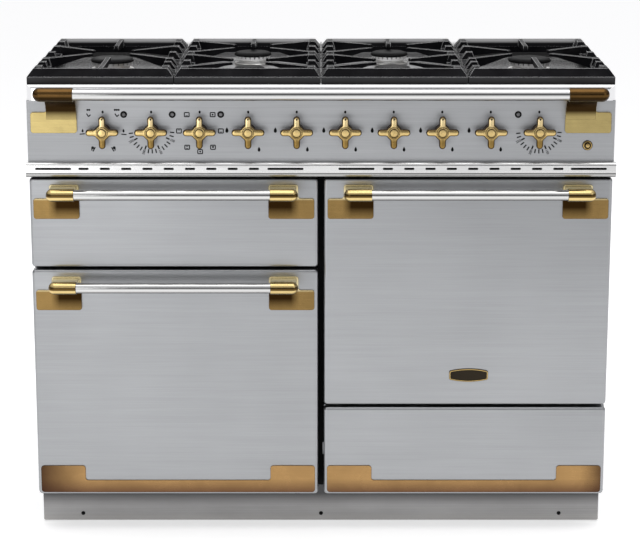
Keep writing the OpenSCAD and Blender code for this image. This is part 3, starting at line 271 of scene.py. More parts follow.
def brass(name, light, dark, rough=0.2, along=(12.0, 700.0, 700.0), tints=(), sides=None, below=None,
          shade=None, outline=None, thick=None, band=None):
    """Lacquered brass. A tint is (axis, start, end, colour): the colour turns to it from start to end;
    the tints given in this script are painted light and shade.

    The sides of a piece and what faces down are darker, and an outline darkens its edges: painted
    shade. A shade is (middle, half width, top, bottom, colour): a painted shadow across that width,
    fading from its top to its bottom. Above and behind thick, (height, depth), the lacquer is thicker
    and hides the metal under it. A band is (depth, colour): ahead of that depth, a painted dark
    reflection where a round piece faces straight forward, and painted shade on its lower edge.
    """
    g = Graph(name)
    g.constants(Metallic=1.0)
    fine = g.noise(g.scaled(*along), 1.0, 4.0, 0.65)
    patch = g.noise(g.point, 16.0, 4.0, 0.6, 0.6)
    tone = g.math("ADD", g.math("MULTIPLY", fine, 0.35), g.math("MULTIPLY", patch, 0.65))
    colour = g.mix(g.ramp(tone, 0.3, 0.7), dark, light)
    # painted shadow across the necks' width, fading downwards
    if shade:
        middle, half_width, top, bottom, painted_shadow_colour = shade
        reach = g.math("ABSOLUTE", g.math("SUBTRACT", g.axis(0), middle), 0.0)
        across = g.ramp(reach, half_width + 0.002, half_width - 0.014)
        fade = g.math("MULTIPLY", across, g.ramp(g.axis(2), bottom, top))
        colour = g.mix(fade, colour, painted_shadow_colour)
    # painted light and shade: each tint
    for axis, start, end, tint in tints:
        painted_tone = g.mix(g.ramp(tone, 0.3, 0.7), tuple(c * 0.75 for c in tint), tint)
        colour = g.mix(g.ramp(g.axis(axis), start, end), colour, painted_tone)
    # painted shade where the piece faces down
    if below:
        up = g.axis(2, g.facing)
        under = g.ramp(up, -0.03, -0.35)
        if band:
            # painted dark reflection band ahead of the band depth, and painted shade on the lower edge
            ahead = g.ramp(g.axis(1), band[0], band[0] - 0.003)
            apart = g.ramp(g.axis(1), band[0] - 0.003, band[0])
            painted_dark_band = g.ramp(g.math("ABSOLUTE", g.math("SUBTRACT", up, 0.05), 0.0), 0.33, 0.2)
            colour = g.mix(g.math("MULTIPLY", ahead, painted_dark_band), colour, band[1])
            low_edge = g.math("MULTIPLY", ahead, g.ramp(up, -0.62, -0.8))
            under = g.math("ADD", g.math("MULTIPLY", apart, under), low_edge)
        colour = g.mix(under, colour, below)
    # painted shade on the sides
    if sides:
        colour = g.mix(g.ramp(g.axis(1, g.facing), -0.985, -0.78), colour, sides)
    # painted shade along the edges
    if outline:
        colour = g.mix(g.edges(1.3), colour, outline)
    if thick:
        above = g.ramp(g.axis(2), thick[0], thick[0] + 0.006)
        behind = g.ramp(g.axis(1), thick[1] - 0.003, thick[1])
        g.to_shader(g.ramp(g.math("MULTIPLY", above, behind), 0.0, 1.0, 1.0, 0.3), "Metallic")
    g.to_shader(colour, "Base Color")
    g.to_shader(g.ramp(tone, 0.3, 0.7, rough + 0.09, rough - 0.04), "Roughness")
    g.bump(fine, 0.00004, 0.45, g.rounded(1.0))
    return g.mat


def cast_iron(name="cast_iron", painted_sheen_depth=None):
    """Cast iron under matt black enamel; grey along its upward edges, a painted highlight, and the front
    face of its front bar lighter towards the top, painted light.

    Behind the given depth in millimetres, the inner face of the rear bar is grey too: a painted sheen.
    """
    g = Graph(name)
    g.constants(Metallic=0.0, Specular_IOR_Level=0.03)
    grain = g.noise(g.point, 900.0, 4.0, 0.65)
    pits = g.noise(g.point, 260.0, 3.0, 0.6)
    cloud = g.noise(g.point, 22.0, 3.0, 0.6)
    base = g.mix(g.ramp(cloud, 0.35, 0.7), (0.005, 0.005, 0.006), (0.011, 0.011, 0.0125))
    # painted sheen on the inner face of the rear bar
    if painted_sheen_depth:
        start = painted_sheen_depth * MM
        top = SUPPORT_TOP * MM
        inner = g.math("MULTIPLY", g.ramp(g.axis(1), start, start + 0.004),
                       g.ramp(g.axis(1, g.facing), -0.1, -0.5))
        inner = g.math("MULTIPLY", inner, g.ramp(g.axis(2, g.facing), 0.1, 0.25))
        inner = g.math("MULTIPLY", inner, g.ramp(g.axis(2), top - 0.0085, top - 0.0035))
        base = g.mix(inner, base, (0.42, 0.42, 0.425))
    # painted light: the front bar's front face lighter towards its top
    height_up = g.ramp(g.axis(2), (SUPPORT_TOP - 34.0) * MM, (SUPPORT_TOP - 16.0) * MM)
    face = g.mix(height_up, (0.007, 0.007, 0.0075), (0.055, 0.055, 0.057))
    front = g.math("MULTIPLY", g.ramp(g.axis(1, g.facing), -0.94, -0.99),
                   g.ramp(g.axis(1), (SUPPORT_FRONT + 18.0) * MM, (SUPPORT_FRONT + 14.0) * MM))
    base = g.mix(front, base, face)
    # painted highlight along the upward edges
    g.to_shader(g.mix(g.edges(1.15, upper=True), base, (0.7, 0.7, 0.71)), "Base Color")
    g.to_shader(g.ramp(cloud, 0.3, 0.7, 0.46, 0.34), "Roughness")
    height = g.math("ADD", g.math("MULTIPLY", grain, 0.5), g.math("MULTIPLY", pits, 0.5))
    g.bump(height, 0.00022, 0.55, g.rounded(1.2))
    return g.mat


def enamel():
    """Gloss vitreous enamel with fine pale flecks."""
    g = Graph("black_enamel")
    g.constants(Metallic=0.0, Specular_IOR_Level=0.6, Coat_Weight=0.5, Coat_Roughness=0.08)
    fleck = g.cells(g.point, 420.0)
    orange = g.noise(g.point, 130.0, 2.0, 0.5)
    cloud = g.noise(g.point, 9.0, 3.0, 0.6)
    base = g.mix(g.ramp(cloud, 0.3, 0.7), (0.018, 0.018, 0.022), (0.032, 0.032, 0.037))
    g.to_shader(g.mix(g.ramp(fleck, 0.09, 0.13, 1.0, 0.0), base, (0.22, 0.22, 0.24)), "Base Color")
    g.to_shader(g.ramp(cloud, 0.3, 0.7, 0.3, 0.18), "Roughness")
    g.bump(orange, 0.00015, 0.35)
    return g.mat


def paint(name, low, high, rough, peel=0.00012, scale=700.0, gloss=0.45):
    """Powder coat: a fine orange peel, in faint clouds."""
    g = Graph(name)
    g.constants(Metallic=0.0, Specular_IOR_Level=gloss)
    peel_noise = g.noise(g.point, scale, 2.0, 0.5)
    cloud = g.noise(g.scaled(2.0, 6.0, 6.0), 1.4, 4.0, 0.6)
    g.to_shader(g.mix(g.ramp(cloud, 0.3, 0.7), low, high), "Base Color")
    g.to_shader(g.ramp(cloud, 0.3, 0.7, rough + 0.08, rough - 0.03), "Roughness")
    g.bump(peel_noise, peel, 0.4)
    return g.mat


def plinth_paint():
    """Warm grey coated steel with faint horizontal rolling lines and dust near the floor; a painted
    shadow of the doors darkens its top.
    """
    g = Graph("grey_paint")
    g.constants(Metallic=0.55, Specular_IOR_Level=0.5)
    lines = g.noise(g.scaled(3.0, 500.0, 500.0), 1.0, 4.0, 0.65)
    cloud = g.noise(g.scaled(3.0, 8.0, 8.0), 1.6, 4.0, 0.6)
    tone = g.math("ADD", g.math("MULTIPLY", lines, 0.4), g.math("MULTIPLY", cloud, 0.6))
    clean = g.mix(g.ramp(tone, 0.35, 0.65), (0.275, 0.271, 0.27), (0.345, 0.341, 0.34))
    dust = g.ramp(g.axis(2), 0.003, 0.02, 0.35, 0.0)
    dusty = g.mix(dust, clean, (0.5, 0.48, 0.45))
    under = corners("left_oven_door_panel")[0].z
    # painted shadow of the doors' overhang along the top of the plinth
    painted_door_shadow = g.ramp(g.axis(2), (under - 43.0) * MM, (under - 19.0) * MM)
    g.to_shader(g.mix(painted_door_shadow, dusty, (0.07, 0.07, 0.072)), "Base Color")
    g.to_shader(g.ramp(tone, 0.3, 0.7, 0.46, 0.36), "Roughness")
    g.bump(lines, 0.00005, 0.5)
    return g.mat


def galvanised():
    """Zinc spangle."""
    g = Graph("galvanised")
    g.constants(Metallic=1.0)
    flake = g.cells(g.point, 75.0, output="Color")
    shades = g.add("ShaderNodeSeparateColor")
    g.link(flake, shades.inputs["Color"])
    grain = g.noise(g.scaled(90.0, 90.0, 240.0), 1.0, 4.0, 0.65)
    tone = g.math("ADD", g.math("MULTIPLY", shades.outputs[0], 0.55), g.math("MULTIPLY", grain, 0.45))
    g.to_shader(g.mix(g.ramp(tone, 0.2, 0.85), (0.36, 0.37, 0.385), (0.56, 0.57, 0.585)), "Base Color")
    g.to_shader(g.ramp(tone, 0.2, 0.85, 0.48, 0.3), "Roughness")
    g.bump(grain, 0.00005, 0.4)
    return g.mat


def alloy(name="burner_alloy", low=(0.50, 0.49, 0.47), high=(0.72, 0.72, 0.71), metallic=1.0):
    """As-cast aluminium with turned marks and a little browning."""
    g = Graph(name)
    g.constants(Metallic=metallic)
    grain = g.noise(g.point, 700.0, 3.0, 0.6)
    cloud = g.noise(g.point, 40.0, 3.0, 0.6)
    base = g.mix(g.ramp(cloud, 0.3, 0.75), low, high)
    g.to_shader(g.mix(g.ramp(g.noise(g.point, 12.0), 0.58, 0.75), base, (0.42, 0.36, 0.28)), "Base Color")
    g.to_shader(g.ramp(cloud, 0.3, 0.7, 0.42, 0.3), "Roughness")
    g.bump(grain, 0.0001, 0.45)
    return g.mat


def heated_steel():
    """Element sheath, heat darkened with blue and straw bands."""
    g = Graph("element")
    g.constants(Metallic=0.85)
    cloud = g.noise(g.point, 30.0, 4.0, 0.6)
    grain = g.noise(g.point, 900.0, 3.0, 0.6)
    base = g.mix(g.ramp(cloud, 0.3, 0.7), (0.10, 0.085, 0.08), (0.23, 0.19, 0.16))
    g.to_shader(g.mix(g.ramp(g.noise(g.point, 9.0), 0.55, 0.7), base, (0.13, 0.14, 0.2)), "Base Color")
    g.to_shader(g.ramp(cloud, 0.3, 0.7, 0.6, 0.42), "Roughness")
    g.bump(grain, 0.0001, 0.5)
    return g.mat


def moulded(name, low, high, rough=0.45, coat=0.0, gloss=0.5):
    """Moulded plastic, ceramic or ink: a fine grain in faint clouds."""
    g = Graph(name)
    g.constants(Metallic=0.0, Specular_IOR_Level=gloss, Coat_Weight=coat, Coat_Roughness=0.1)
    grain = g.noise(g.point, 1400.0, 2.0, 0.5)
    cloud = g.noise(g.point, 35.0, 3.0, 0.6)
    g.to_shader(g.mix(g.ramp(cloud, 0.3, 0.7), low, high), "Base Color")
    g.to_shader(g.ramp(cloud, 0.3, 0.7, rough + 0.06, rough - 0.04), "Roughness")
    g.bump(grain, 0.00004, 0.4)
    return g.mat


def woven_seal():
    """Braided glass rope."""
    g = Graph("woven_seal")
    g.constants(Metallic=0.0, Sheen_Weight=0.35)
    wave = g.add("ShaderNodeTexWave", wave_type="BANDS", bands_direction="DIAGONAL")
    wave.inputs["Scale"].default_value = 260.0
    wave.inputs["Distortion"].default_value = 1.5
    g.link(g.point, wave.inputs["Vector"])
    strand = wave.outputs["Fac"]
    g.to_shader(g.mix(strand, (0.05, 0.05, 0.052), (0.16, 0.155, 0.15)), "Base Color")
    g.to_shader(g.ramp(strand, 0.0, 1.0, 0.9, 0.75), "Roughness")
    g.bump(strand, 0.0004, 0.8)
    return g.mat


# One material for each material slot of the CAD nodes

MATERIALS = {
    "brushed_steel": brushed("brushed_steel", (0.395, 0.403, 0.415), (0.325, 0.332, 0.343), 0.33),
    # the below tone and the dark band of the polished steel are painted shade and reflection
    "polished_steel": polished("polished_steel", (0.7, 0.7, 0.695), 0.08, (0.2, 0.195, 0.19)),
    "hob_steel": hob_steel(),
    "brass": brass("brass", (0.42, 0.33, 0.15), (0.30, 0.22, 0.09)),
    # the depth behind which the rear bar carries a painted sheen
    "cast_iron": cast_iron("cast_iron", corners("pan_support_1")[1].y - 24.0),
    "black_enamel": enamel(),
    "dark_frame": paint("dark_frame", (0.004, 0.004, 0.0045), (0.008, 0.008, 0.0085), 0.5, gloss=0.08),
    "grey_paint": plinth_paint(),
    "side_paint": paint("side_paint", (0.125, 0.125, 0.13), (0.145, 0.145, 0.15), 0.42),
    "galvanised": galvanised(),
    "burner_alloy": alloy(),
    "element": heated_steel(),
    "wire_chrome": polished("wire_chrome", (0.72, 0.725, 0.735), 0.14),
    "switch_plastic": moulded("switch_plastic", (0.56, 0.53, 0.47), (0.66, 0.63, 0.57)),
    "lens": moulded("lens", (0.13, 0.13, 0.135), (0.20, 0.20, 0.205), 0.2, 0.3),
    "foot": moulded("foot", (0.02, 0.02, 0.021), (0.035, 0.035, 0.036), 0.6),
}

# Materials of single nodes, and of the pieces that are made below

trim_low = corners("left_oven_door_trim")[0]
drawer_trim_high = corners("drawer_trim")[1]
# painted reflection and shade on the brass trims: darker towards the bottom and the outer ends
TRIM_TINTS = (
    (2, (trim_low.z + 27.0) * MM, trim_low.z * MM, (0.16, 0.082, 0.045)),
    (0, (trim_low.x + 90.0) * MM, (trim_low.x - 10.0) * MM, (0.05, 0.022, 0.015)),
    (0, (drawer_trim_high.x - 40.0) * MM, (drawer_trim_high.x + 10.0) * MM, (0.06, 0.028, 0.017)),
)
# painted light on the knobs: the upper arm paler, a painted highlight; the lower arm darker, painted
# shade
CROSS_TINTS = (
    (2, (KNOB_Z + 2.0) * MM, (KNOB_Z + 20.0) * MM, (0.88, 0.70, 0.38)),
    (2, (KNOB_Z - 2.0) * MM, (KNOB_Z - 16.0) * MM, (0.28, 0.18, 0.055)),
)
EXTRA = {
    "ink": moulded("printed_ink", (0.004, 0.004, 0.004), (0.008, 0.008, 0.008), 0.6, gloss=0.05),
    "rim_black": moulded("rim_black", (0.003, 0.003, 0.003), (0.006, 0.006, 0.006), 0.45, gloss=0.08),
    "vent_steel": vent_steel(corners("vent_trim")[0].z),
    "panel_steel": brushed("panel_steel", (0.43, 0.438, 0.45), (0.36, 0.367, 0.378), 0.44),
    "runner_coat": paint("runner_coat", (0.006, 0.006, 0.0065), (0.012, 0.012, 0.0125), 0.5, gloss=0.1),
    "ceramic": moulded("ceramic", (0.72, 0.70, 0.66), (0.82, 0.81, 0.78), 0.3, 0.3),
    "cap_enamel": paint("cap_enamel", (0.005, 0.005, 0.0055), (0.010, 0.010, 0.0105), 0.5, gloss=0.04),
    "crown_alloy": alloy("crown_alloy", (0.9, 0.895, 0.88), (0.98, 0.98, 0.975), 0.75),
    "seal": woven_seal(),
    "plate_dark": paint("plate_dark", (0.018, 0.013, 0.008), (0.032, 0.023, 0.013), 0.4, gloss=0.1),
    # the trims' outline is painted shade
    "trim_brass": brass("trim_brass", (0.43, 0.258, 0.105), (0.33, 0.196, 0.08), 0.27,
                        (6.0, 1100.0, 1100.0), tints=TRIM_TINTS, outline=(0.035, 0.02, 0.01)),
    # the sides of knob_brass and the sides and outline of cross_brass are painted shade
    "knob_brass": brass("knob_brass", (0.58, 0.42, 0.17), (0.45, 0.32, 0.13), 0.22,
                        (260.0, 260.0, 260.0), sides=(0.055, 0.03, 0.01)),
    "cross_brass": brass("cross_brass", (0.72, 0.54, 0.235), (0.60, 0.44, 0.185), 0.22,
                         (260.0, 260.0, 260.0), tints=CROSS_TINTS, sides=(0.05, 0.026, 0.009),
                         outline=(0.13, 0.085, 0.03)),
}
PLATE_H = 39.0                                  # height of a bracket's plate, its neck above it
CAP_IN = 24.0                                   # how far a cap reaches back from its front
NECK_IN = 30.0                                  # from a plate's outer end to its neck


def bracket_brass(name, node, rise, plate, neck, cap, plate_painted_shadow):
    """Brass of a pair of brackets: one tone each for the plates, the necks and the caps, painted light
    and shade on the one brass.

    Above its plate the colour turns to the neck's tone over a height of rise. The last tone, where
    given, is a painted shadow on the plates under the necks; the dark outline and under-tone are
    painted shade, and the dark band on the caps a painted reflection.
    """
    low, high = corners(node)
    top = (low.z + PLATE_H) * MM
    back = (low.y + CAP_IN) * MM
    tints = ((2, top - 0.004, top - 0.004 + rise * MM, neck), (1, back, back - 0.003, cap))
    shade = None
    # painted shadow of the rod and caps on the plates, across the necks' width
    if plate_painted_shadow:
        necks = (high.x - low.x) / 2 - NECK_IN
        shade = ((low.x + high.x) / 2 * MM, necks * MM, top - 0.017, top - 0.042, plate_painted_shadow)
    return brass(name, plate, tuple(c * 0.75 for c in plate), 0.22, tints=tints, shade=shade,
                 below=tuple(c * 0.2 for c in cap), outline=tuple(c * 0.3 for c in plate),
                 thick=(top, back) if plate_painted_shadow else None,
                 band=(back, (0.10, 0.06, 0.018)) if plate_painted_shadow else None)


# rise, then the plate, neck and cap tones, then a painted shadow tone: painted light and shade on one
# brass; the pale door necks and caps are painted highlights, the dark rail neck and caps painted shade
# and reflection
DOOR_TONES = (7.0, (0.29, 0.185, 0.066), (0.95, 0.83, 0.50), (0.80, 0.61, 0.27), (0.025, 0.012, 0.003))
RAIL_TONES = (24.0, (0.47, 0.37, 0.155), (0.30, 0.19, 0.07), (0.125, 0.068, 0.022), None)
for node, tones in (("grill_door_brackets", DOOR_TONES), ("left_oven_door_brackets", DOOR_TONES),
                    ("right_oven_door_brackets", DOOR_TONES), ("rail_brackets", RAIL_TONES)):
    EXTRA[node] = bracket_brass(f"{node}_brass", node, *tones)

for node, obj in nodes.items():
    slot_name = obj.material_slots[0].material.name.split(".")[0]
    for slot in obj.material_slots:
        slot.material = MATERIALS[slot_name]
for node, finish in (("left_oven_door_trim", "trim_brass"), ("drawer_trim", "trim_brass"),
                     ("grill_door_brackets", "grill_door_brackets"), ("rail_brackets", "rail_brackets"),
                     ("left_oven_door_brackets", "left_oven_door_brackets"),
                     ("right_oven_door_brackets", "right_oven_door_brackets"),
                     ("ignition_button", "knob_brass"), ("vent_trim", "vent_steel"),
                     ("control_panel", "panel_steel"), ("drawer_runners", "runner_coat"),
                     ("burner_caps", "cap_enamel"), ("burner_crowns", "crown_alloy")):
    for slot in nodes[node].material_slots:
        slot.material = EXTRA[finish]


# Mesh helpers: a piece is shaped in millimetres, and finish_piece turns it to metres

def finish_piece(name, bm, body, material, replaces=(), smooth=35.0):
    """Makes an object of a bmesh, and hangs it on a CAD body."""
    bmesh.ops.remove_doubles(bm, verts=bm.verts, dist=0.0005)
    bmesh.ops.recalc_face_normals(bm, faces=bm.faces)
    bmesh.ops.scale(bm, vec=(MM, MM, MM), verts=bm.verts)
    mesh = bpy.data.meshes.new(name)
    limit = math.radians(smooth)
    for edge in bm.edges:
        edge.smooth = len(edge.link_faces) == 2 and edge.calc_face_angle(0.0) < limit
    for face in bm.faces:
        face.smooth = True
    bm.to_mesh(mesh)
    bm.free()
    mesh.materials.append(material)
    obj = bpy.data.objects.new(name, mesh)
    bpy.context.scene.collection.objects.link(obj)
    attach(obj, body)
    if replaces:
        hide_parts(*replaces)
    return obj


def rounded_outline(w, h, r, steps=8):
    """Corner points of a rounded rectangle about its middle, anticlockwise."""
    points = []
    for k, (sx, sy) in enumerate(((1, 1), (-1, 1), (-1, -1), (1, -1))):
        for i in range(steps + 1):
            a = math.radians(90 * k + 90 * i / steps)
            points.append((sx * (w / 2 - r) + r * math.cos(a), sy * (h / 2 - r) + r * math.sin(a)))
    return points


def loft(bm, rings, cap_first=True, cap_last=True):
    """Joins rings that have as many (x, y, z) points each."""
    rows = [[bm.verts.new(p) for p in ring] for ring in rings]
    count = len(rows[0])
    for a, b in zip(rows, rows[1:]):
        for i in range(count):
            j = (i + 1) % count
            bm.faces.new((a[i], a[j], b[j], b[i]))
    if cap_first:
        bm.faces.new(rows[0])
    if cap_last:
        bm.faces.new(rows[-1])
    return rows


def turned(bm, profile, centre, segments=40, axis="y"):
    """Turns a profile of (radius, reach) points about a line towards -Y or +Z."""
    rings = []
    for r, reach in profile:
        ring = []
        for k in range(segments):
            a = 2 * math.pi * k / segments
            u, v = r * math.cos(a), r * math.sin(a)
            if axis == "y":
                ring.append((centre[0] + u, centre[1] - reach, centre[2] + v))
            else:
                ring.append((centre[0] + u, centre[1] + v, centre[2] + reach))
        rings.append(ring)
    first, last = profile[0][0] > 0.01, profile[-1][0] > 0.01
    loft(bm, rings, first, last)


def slab(bm, points, y_front, y_back):
    """A flat plate of an (x, z) outline between two depths."""
    loft(bm, [[(x, y_front, z) for x, z in points], [(x, y_back, z) for x, z in points]])


# Door and drawer fronts: pressed steel with rounded edges, open at the back

def pressed_front(name, node, body, slots):
    """A front over its CAD node; slots cuts the two notches for the hinges in its lower edge."""
    low, high = corners(node)
    w, h = high.x - low.x, high.z - low.z
    cx, cz = (low.x + high.x) / 2, (low.z + high.z) / 2
    corner, edge, sheet = 7.0, 5.4, 2.0
    rings = []
    steps = 8
    for k in range(steps + 1):
        a = math.radians(90 * k / steps)
        inset = edge * (1 - math.sin(a))
        y = low.y + edge * (1 - math.cos(a))
        rings.append([(cx + x, y, cz + z) for x, z in
                      rounded_outline(w - 2 * inset, h - 2 * inset, corner - inset)])
    inner = rounded_outline(w - 2 * sheet, h - 2 * sheet, corner - sheet)
    outer = rounded_outline(w, h, corner)
    rings.append([(cx + x, high.y, cz + z) for x, z in outer])
    rings.append([(cx + x, high.y, cz + z) for x, z in inner])
    rings.append([(cx + x, low.y + edge, cz + z) for x, z in inner])
    near = rounded_outline(w - 2 * edge, h - 2 * edge, 2.0)
    rings.append([(cx + x, low.y + sheet, cz + z) for x, z in near])
    bm = bmesh.new()
    loft(bm, rings)
    obj = finish_piece(name, bm, body, MATERIALS["brushed_steel"], (node,))
    if slots:
        slot_in, slot_half = 40, 5
        slot_low, slot_high = low.z - 3, low.z + 8.5
        cut = bmesh.new()
        for x in (low.x + slot_in, high.x - slot_in):
            slab(cut, [(x - slot_half, slot_low), (x + slot_half, slot_low), (x + slot_half, slot_high),
                       (x - slot_half, slot_high)], low.y + 2.3, high.y + 4)
        bmesh.ops.recalc_face_normals(cut, faces=cut.faces)
        bmesh.ops.scale(cut, vec=(MM, MM, MM), verts=cut.verts)
        cutter_mesh = bpy.data.meshes.new("cutter")
        cut.to_mesh(cutter_mesh)
        cut.free()
        cutter = bpy.data.objects.new("cutter", cutter_mesh)
        bpy.context.scene.collection.objects.link(cutter)
        modifier = obj.modifiers.new("slots", "BOOLEAN")
        modifier.operation = "DIFFERENCE"
        modifier.object = cutter
        bpy.context.view_layer.update()
        shape = bpy.data.meshes.new_from_object(obj.evaluated_get(bpy.context.evaluated_depsgraph_get()))
        obj.modifiers.clear()
        obj.data = shape
        bpy.data.objects.remove(cutter)
    return obj


pressed_front("grill_door_front", "grill_door_panel", "grill_door", True)
pressed_front("left_oven_door_front", "left_oven_door_panel", "left_oven_door", True)
pressed_front("right_oven_door_front", "right_oven_door_panel", "right_oven_door", True)
pressed_front("storage_drawer_front", "drawer_front", "storage_drawer", False)


# Cross knobs

KNOB_TIP, ARM_R, HUB_R, FILLET = 30.5, 6.25, 14.6, 5.0
KNOB_BACK, ARM_T = 15.0, 9.0


def cross_outline():
    """Outline of the knob, seen from the front, as (point, outward normal) pairs."""
    quarter = []
    steps = 10
    for i in range(steps + 1):
        a = math.radians(-90 + 90 * i / steps) + math.pi / 2
        centre = KNOB_TIP - ARM_R
        quarter.append(((centre + ARM_R * math.cos(a), ARM_R * math.sin(a)), (math.cos(a), math.sin(a))))
    # Fillet between the arm's upper side and the hub
    fy = ARM_R + FILLET
    fx = math.sqrt((HUB_R + FILLET) ** 2 - fy ** 2)
    for i in range(4):
        x = KNOB_TIP - ARM_R - (KNOB_TIP - ARM_R - fx) * (i + 1) / 4
        quarter.append(((x, ARM_R), (0.0, 1.0)))
    end = math.atan2(-fy, -fx)
    start = -math.pi / 2
    for i in range(1, 6):
        a = start + (end - start) * i / 6
        c, s = math.cos(a), math.sin(a)
        quarter.append(((fx + FILLET * c, fy + FILLET * s), (-c, -s)))
    hub_start = math.atan2(fy, fx)
    for i in range(5):
        a = hub_start + (math.pi / 4 - hub_start) * i / 4
        quarter.append(((HUB_R * math.cos(a), HUB_R * math.sin(a)), (math.cos(a), math.sin(a))))
    half = quarter + [((y, x), (ny, nx)) for (x, y), (nx, ny) in reversed(quarter[1:-1])]
    points = []
    for turn in range(4):
        c, s = math.cos(turn * math.pi / 2), math.sin(turn * math.pi / 2)
        for (x, y), (nx, ny) in half:
            points.append(((c * x - s * y, s * x + c * y), (c * nx - s * ny, s * nx + c * ny)))
    clean = []
    for p in points:
        if not clean or math.dist(p[0], clean[-1][0]) > 0.02:
            clean.append(p)
    if math.dist(clean[0][0], clean[-1][0]) < 0.02:
        clean.pop()
    return clean


def knob_mesh():
    """The knob about its own centre on the panel's front, in millimetres."""
    outline = cross_outline()
    edge_back, edge_front = 1.6, 3.6
    rings = []
    for k in range(5):
        a = math.radians(90 * k / 4)
        inset, y = edge_back * (1 - math.sin(a)), KNOB_BACK + edge_back * (1 - math.cos(a))
        rings.append([(p[0] - n[0] * inset, -y, p[1] - n[1] * inset) for p, n in outline])
    top = KNOB_BACK + ARM_T
    for k in range(7):
        a = math.radians(90 * k / 6)
        inset, y = edge_front * (1 - math.cos(a)), top - edge_front * (1 - math.sin(a))
        rings.append([(p[0] - n[0] * inset, -y, p[1] - n[1] * inset) for p, n in outline])
    inset = edge_front + 1.2
    rings.append([(p[0] - n[0] * inset, -top - 0.25, p[1] - n[1] * inset) for p, n in outline])
    bm = bmesh.new()
    loft(bm, rings)
    boss = [(10.6, top - 1.2), (10.6, top + 0.9), (10.1, top + 1.5), (8.9, top + 1.5), (8.3, top + 0.8),
            (7.7, top + 0.8), (7.1, top + 1.9), (6.6, top + 2.25), (6.2, top + 2.32), (0.0, top + 2.34)]
    turned(bm, boss, (0, 0, 0), 48)
    skirt = [(0.0, KNOB_BACK + 2), (10.4, KNOB_BACK + 2), (10.4, 11.5), (10.8, 10.0), (12.4, 8.2),
             (13.6, 6.0), (14.4, 3.0), (14.4, 2.2), (13.6, 1.0), (3.9, 1.0), (3.9, -34.0), (0.0, -34.0)]
    turned(bm, skirt, (0, 0, 0), 48)
    return bm


for number in range(1, 11):
    knob = finish_piece(f"cross_knob_{number}", knob_mesh(), f"knob_{number}", EXTRA["cross_brass"],
                        (f"knob_{number}",), 42.0)
    x = knob_x(number)
    knob.data.transform(Matrix.Translation(Vector((x, PANEL_Y, KNOB_Z)) * MM))
    dot = bmesh.new()
    turned(dot, [(0.0, 0.42), (1.2, 0.4), (1.6, 0.2), (1.6, -0.4)],
           (x, PANEL_Y - KNOB_BACK - ARM_T, KNOB_Z + 25.0), 20)
    finish_piece(f"knob_dot_{number}", dot, f"knob_{number}", EXTRA["ink"])


# Printed marks of the control panel

def mark_bar(bm, x0, z0, x1, z1, t):
    """A stroke between two points."""
    d = Vector((x1 - x0, z1 - z0)).normalized()
    n = Vector((-d.y, d.x)) * t / 2
    points = [(x0 - n.x, z0 - n.y), (x1 - n.x, z1 - n.y), (x1 + n.x, z1 + n.y), (x0 + n.x, z0 + n.y)]
    slab(bm, points, PANEL_Y - MARK_PROUD, PANEL_Y + MARK_DEEP)


def mark_disc(bm, x, z, rx, rz=None, count=16):
    """A dot, or an oval with two radii."""
    rz = rz or rx
    points = [(x + rx * math.cos(2 * math.pi * k / count), z + rz * math.sin(2 * math.pi * k / count))
              for k in range(count)]
    slab(bm, points, PANEL_Y - MARK_PROUD, PANEL_Y + MARK_DEEP)


def mark_flame(bm, x, z, size):
    """A flame: round below, drawn to a point above."""
    points = []
    for k in range(24):
        a = 2 * math.pi * k / 24
        up = math.sin(a)
        lean = 0.5 * (1 - max(up, 0) ** 1.6)
        across = size * 0.46 * math.cos(a) * (0.35 + lean * 1.3)
        points.append((x + across, z + size * (0.62 * up if up < 0 else up)))
    slab(bm, points, PANEL_Y - MARK_PROUD, PANEL_Y + MARK_DEEP)


def mark_frame(bm, x, z, w, h, t=1.9):
    """A square of four strokes, as on an oven function dial."""
    for s in (-1, 1):
        mark_bar(bm, x - w / 2, z + s * h / 2, x + w / 2, z + s * h / 2, t)
        mark_bar(bm, x + s * w / 2, z - h / 2, x + s * w / 2, z + h / 2, t)


def around(number, clockwise, radius):
    """A place round a knob, its angle clockwise from the top."""
    a = math.radians(clockwise)
    return knob_x(number) + radius * math.sin(a), KNOB_Z + radius * math.cos(a)


def dial_text(words, x, z, angle, size):
    """A number on a dial, turned to stand along its radius."""
    data = bpy.data.curves.new("number", "FONT")
    data.body = words
    data.size = size
    data.align_x = "CENTER"
    data.align_y = "CENTER"
    data.extrude = 0.05
    data.offset = 0.14
    obj = bpy.data.objects.new("number", data)
    bpy.context.scene.collection.objects.link(obj)
    bpy.context.view_layer.update()
    mesh = bpy.data.meshes.new_from_object(obj.evaluated_get(bpy.context.evaluated_depsgraph_get()))
    mesh.transform(Matrix.Translation((x, PANEL_Y - 0.05, z)) @ Matrix.Rotation(angle, 4, "Y")
                   @ Matrix.Rotation(math.pi / 2, 4, "X"))
    bpy.data.objects.remove(obj)
    return mesh


def add_mesh(bm, mesh):
    """Takes a mesh into a bmesh, and drops it."""
    bm.from_mesh(mesh)
    bpy.data.meshes.remove(mesh)


def gas_marks(bm, number):
    """A flame on the left of the knob, and a smaller one below on its right."""
    x0 = knob_x(number)
    mark_flame(bm, x0 - 39.8, KNOB_Z + 0.5, 6.4)
    mark_flame(bm, x0 + 19.7, KNOB_Z - 35.5, 5.6)


def thermostat_marks(bm, number):
    """A dial of strokes, four of them with a number."""
    values = {2: "100", 6: "150", 10: "200", 14: "250"}
    for k in range(17):
        angle = 94 + k * 10.6
        start = 29.5 if k in values else 34.5
        end = 37.0 if k in values else 42.5
        x0, z0 = around(number, angle, start)
        x1, z1 = around(number, angle, end)
        mark_bar(bm, x0, z0, x1, z1, 2.7 if k in values else 2.3)
        if k in values:
            x, z = around(number, angle, 42.6)
            turn = math.radians(angle - 90 if angle < 180 else angle + 90)
            add_mesh(bm, dial_text(values[k], x, z, turn, 6.2))


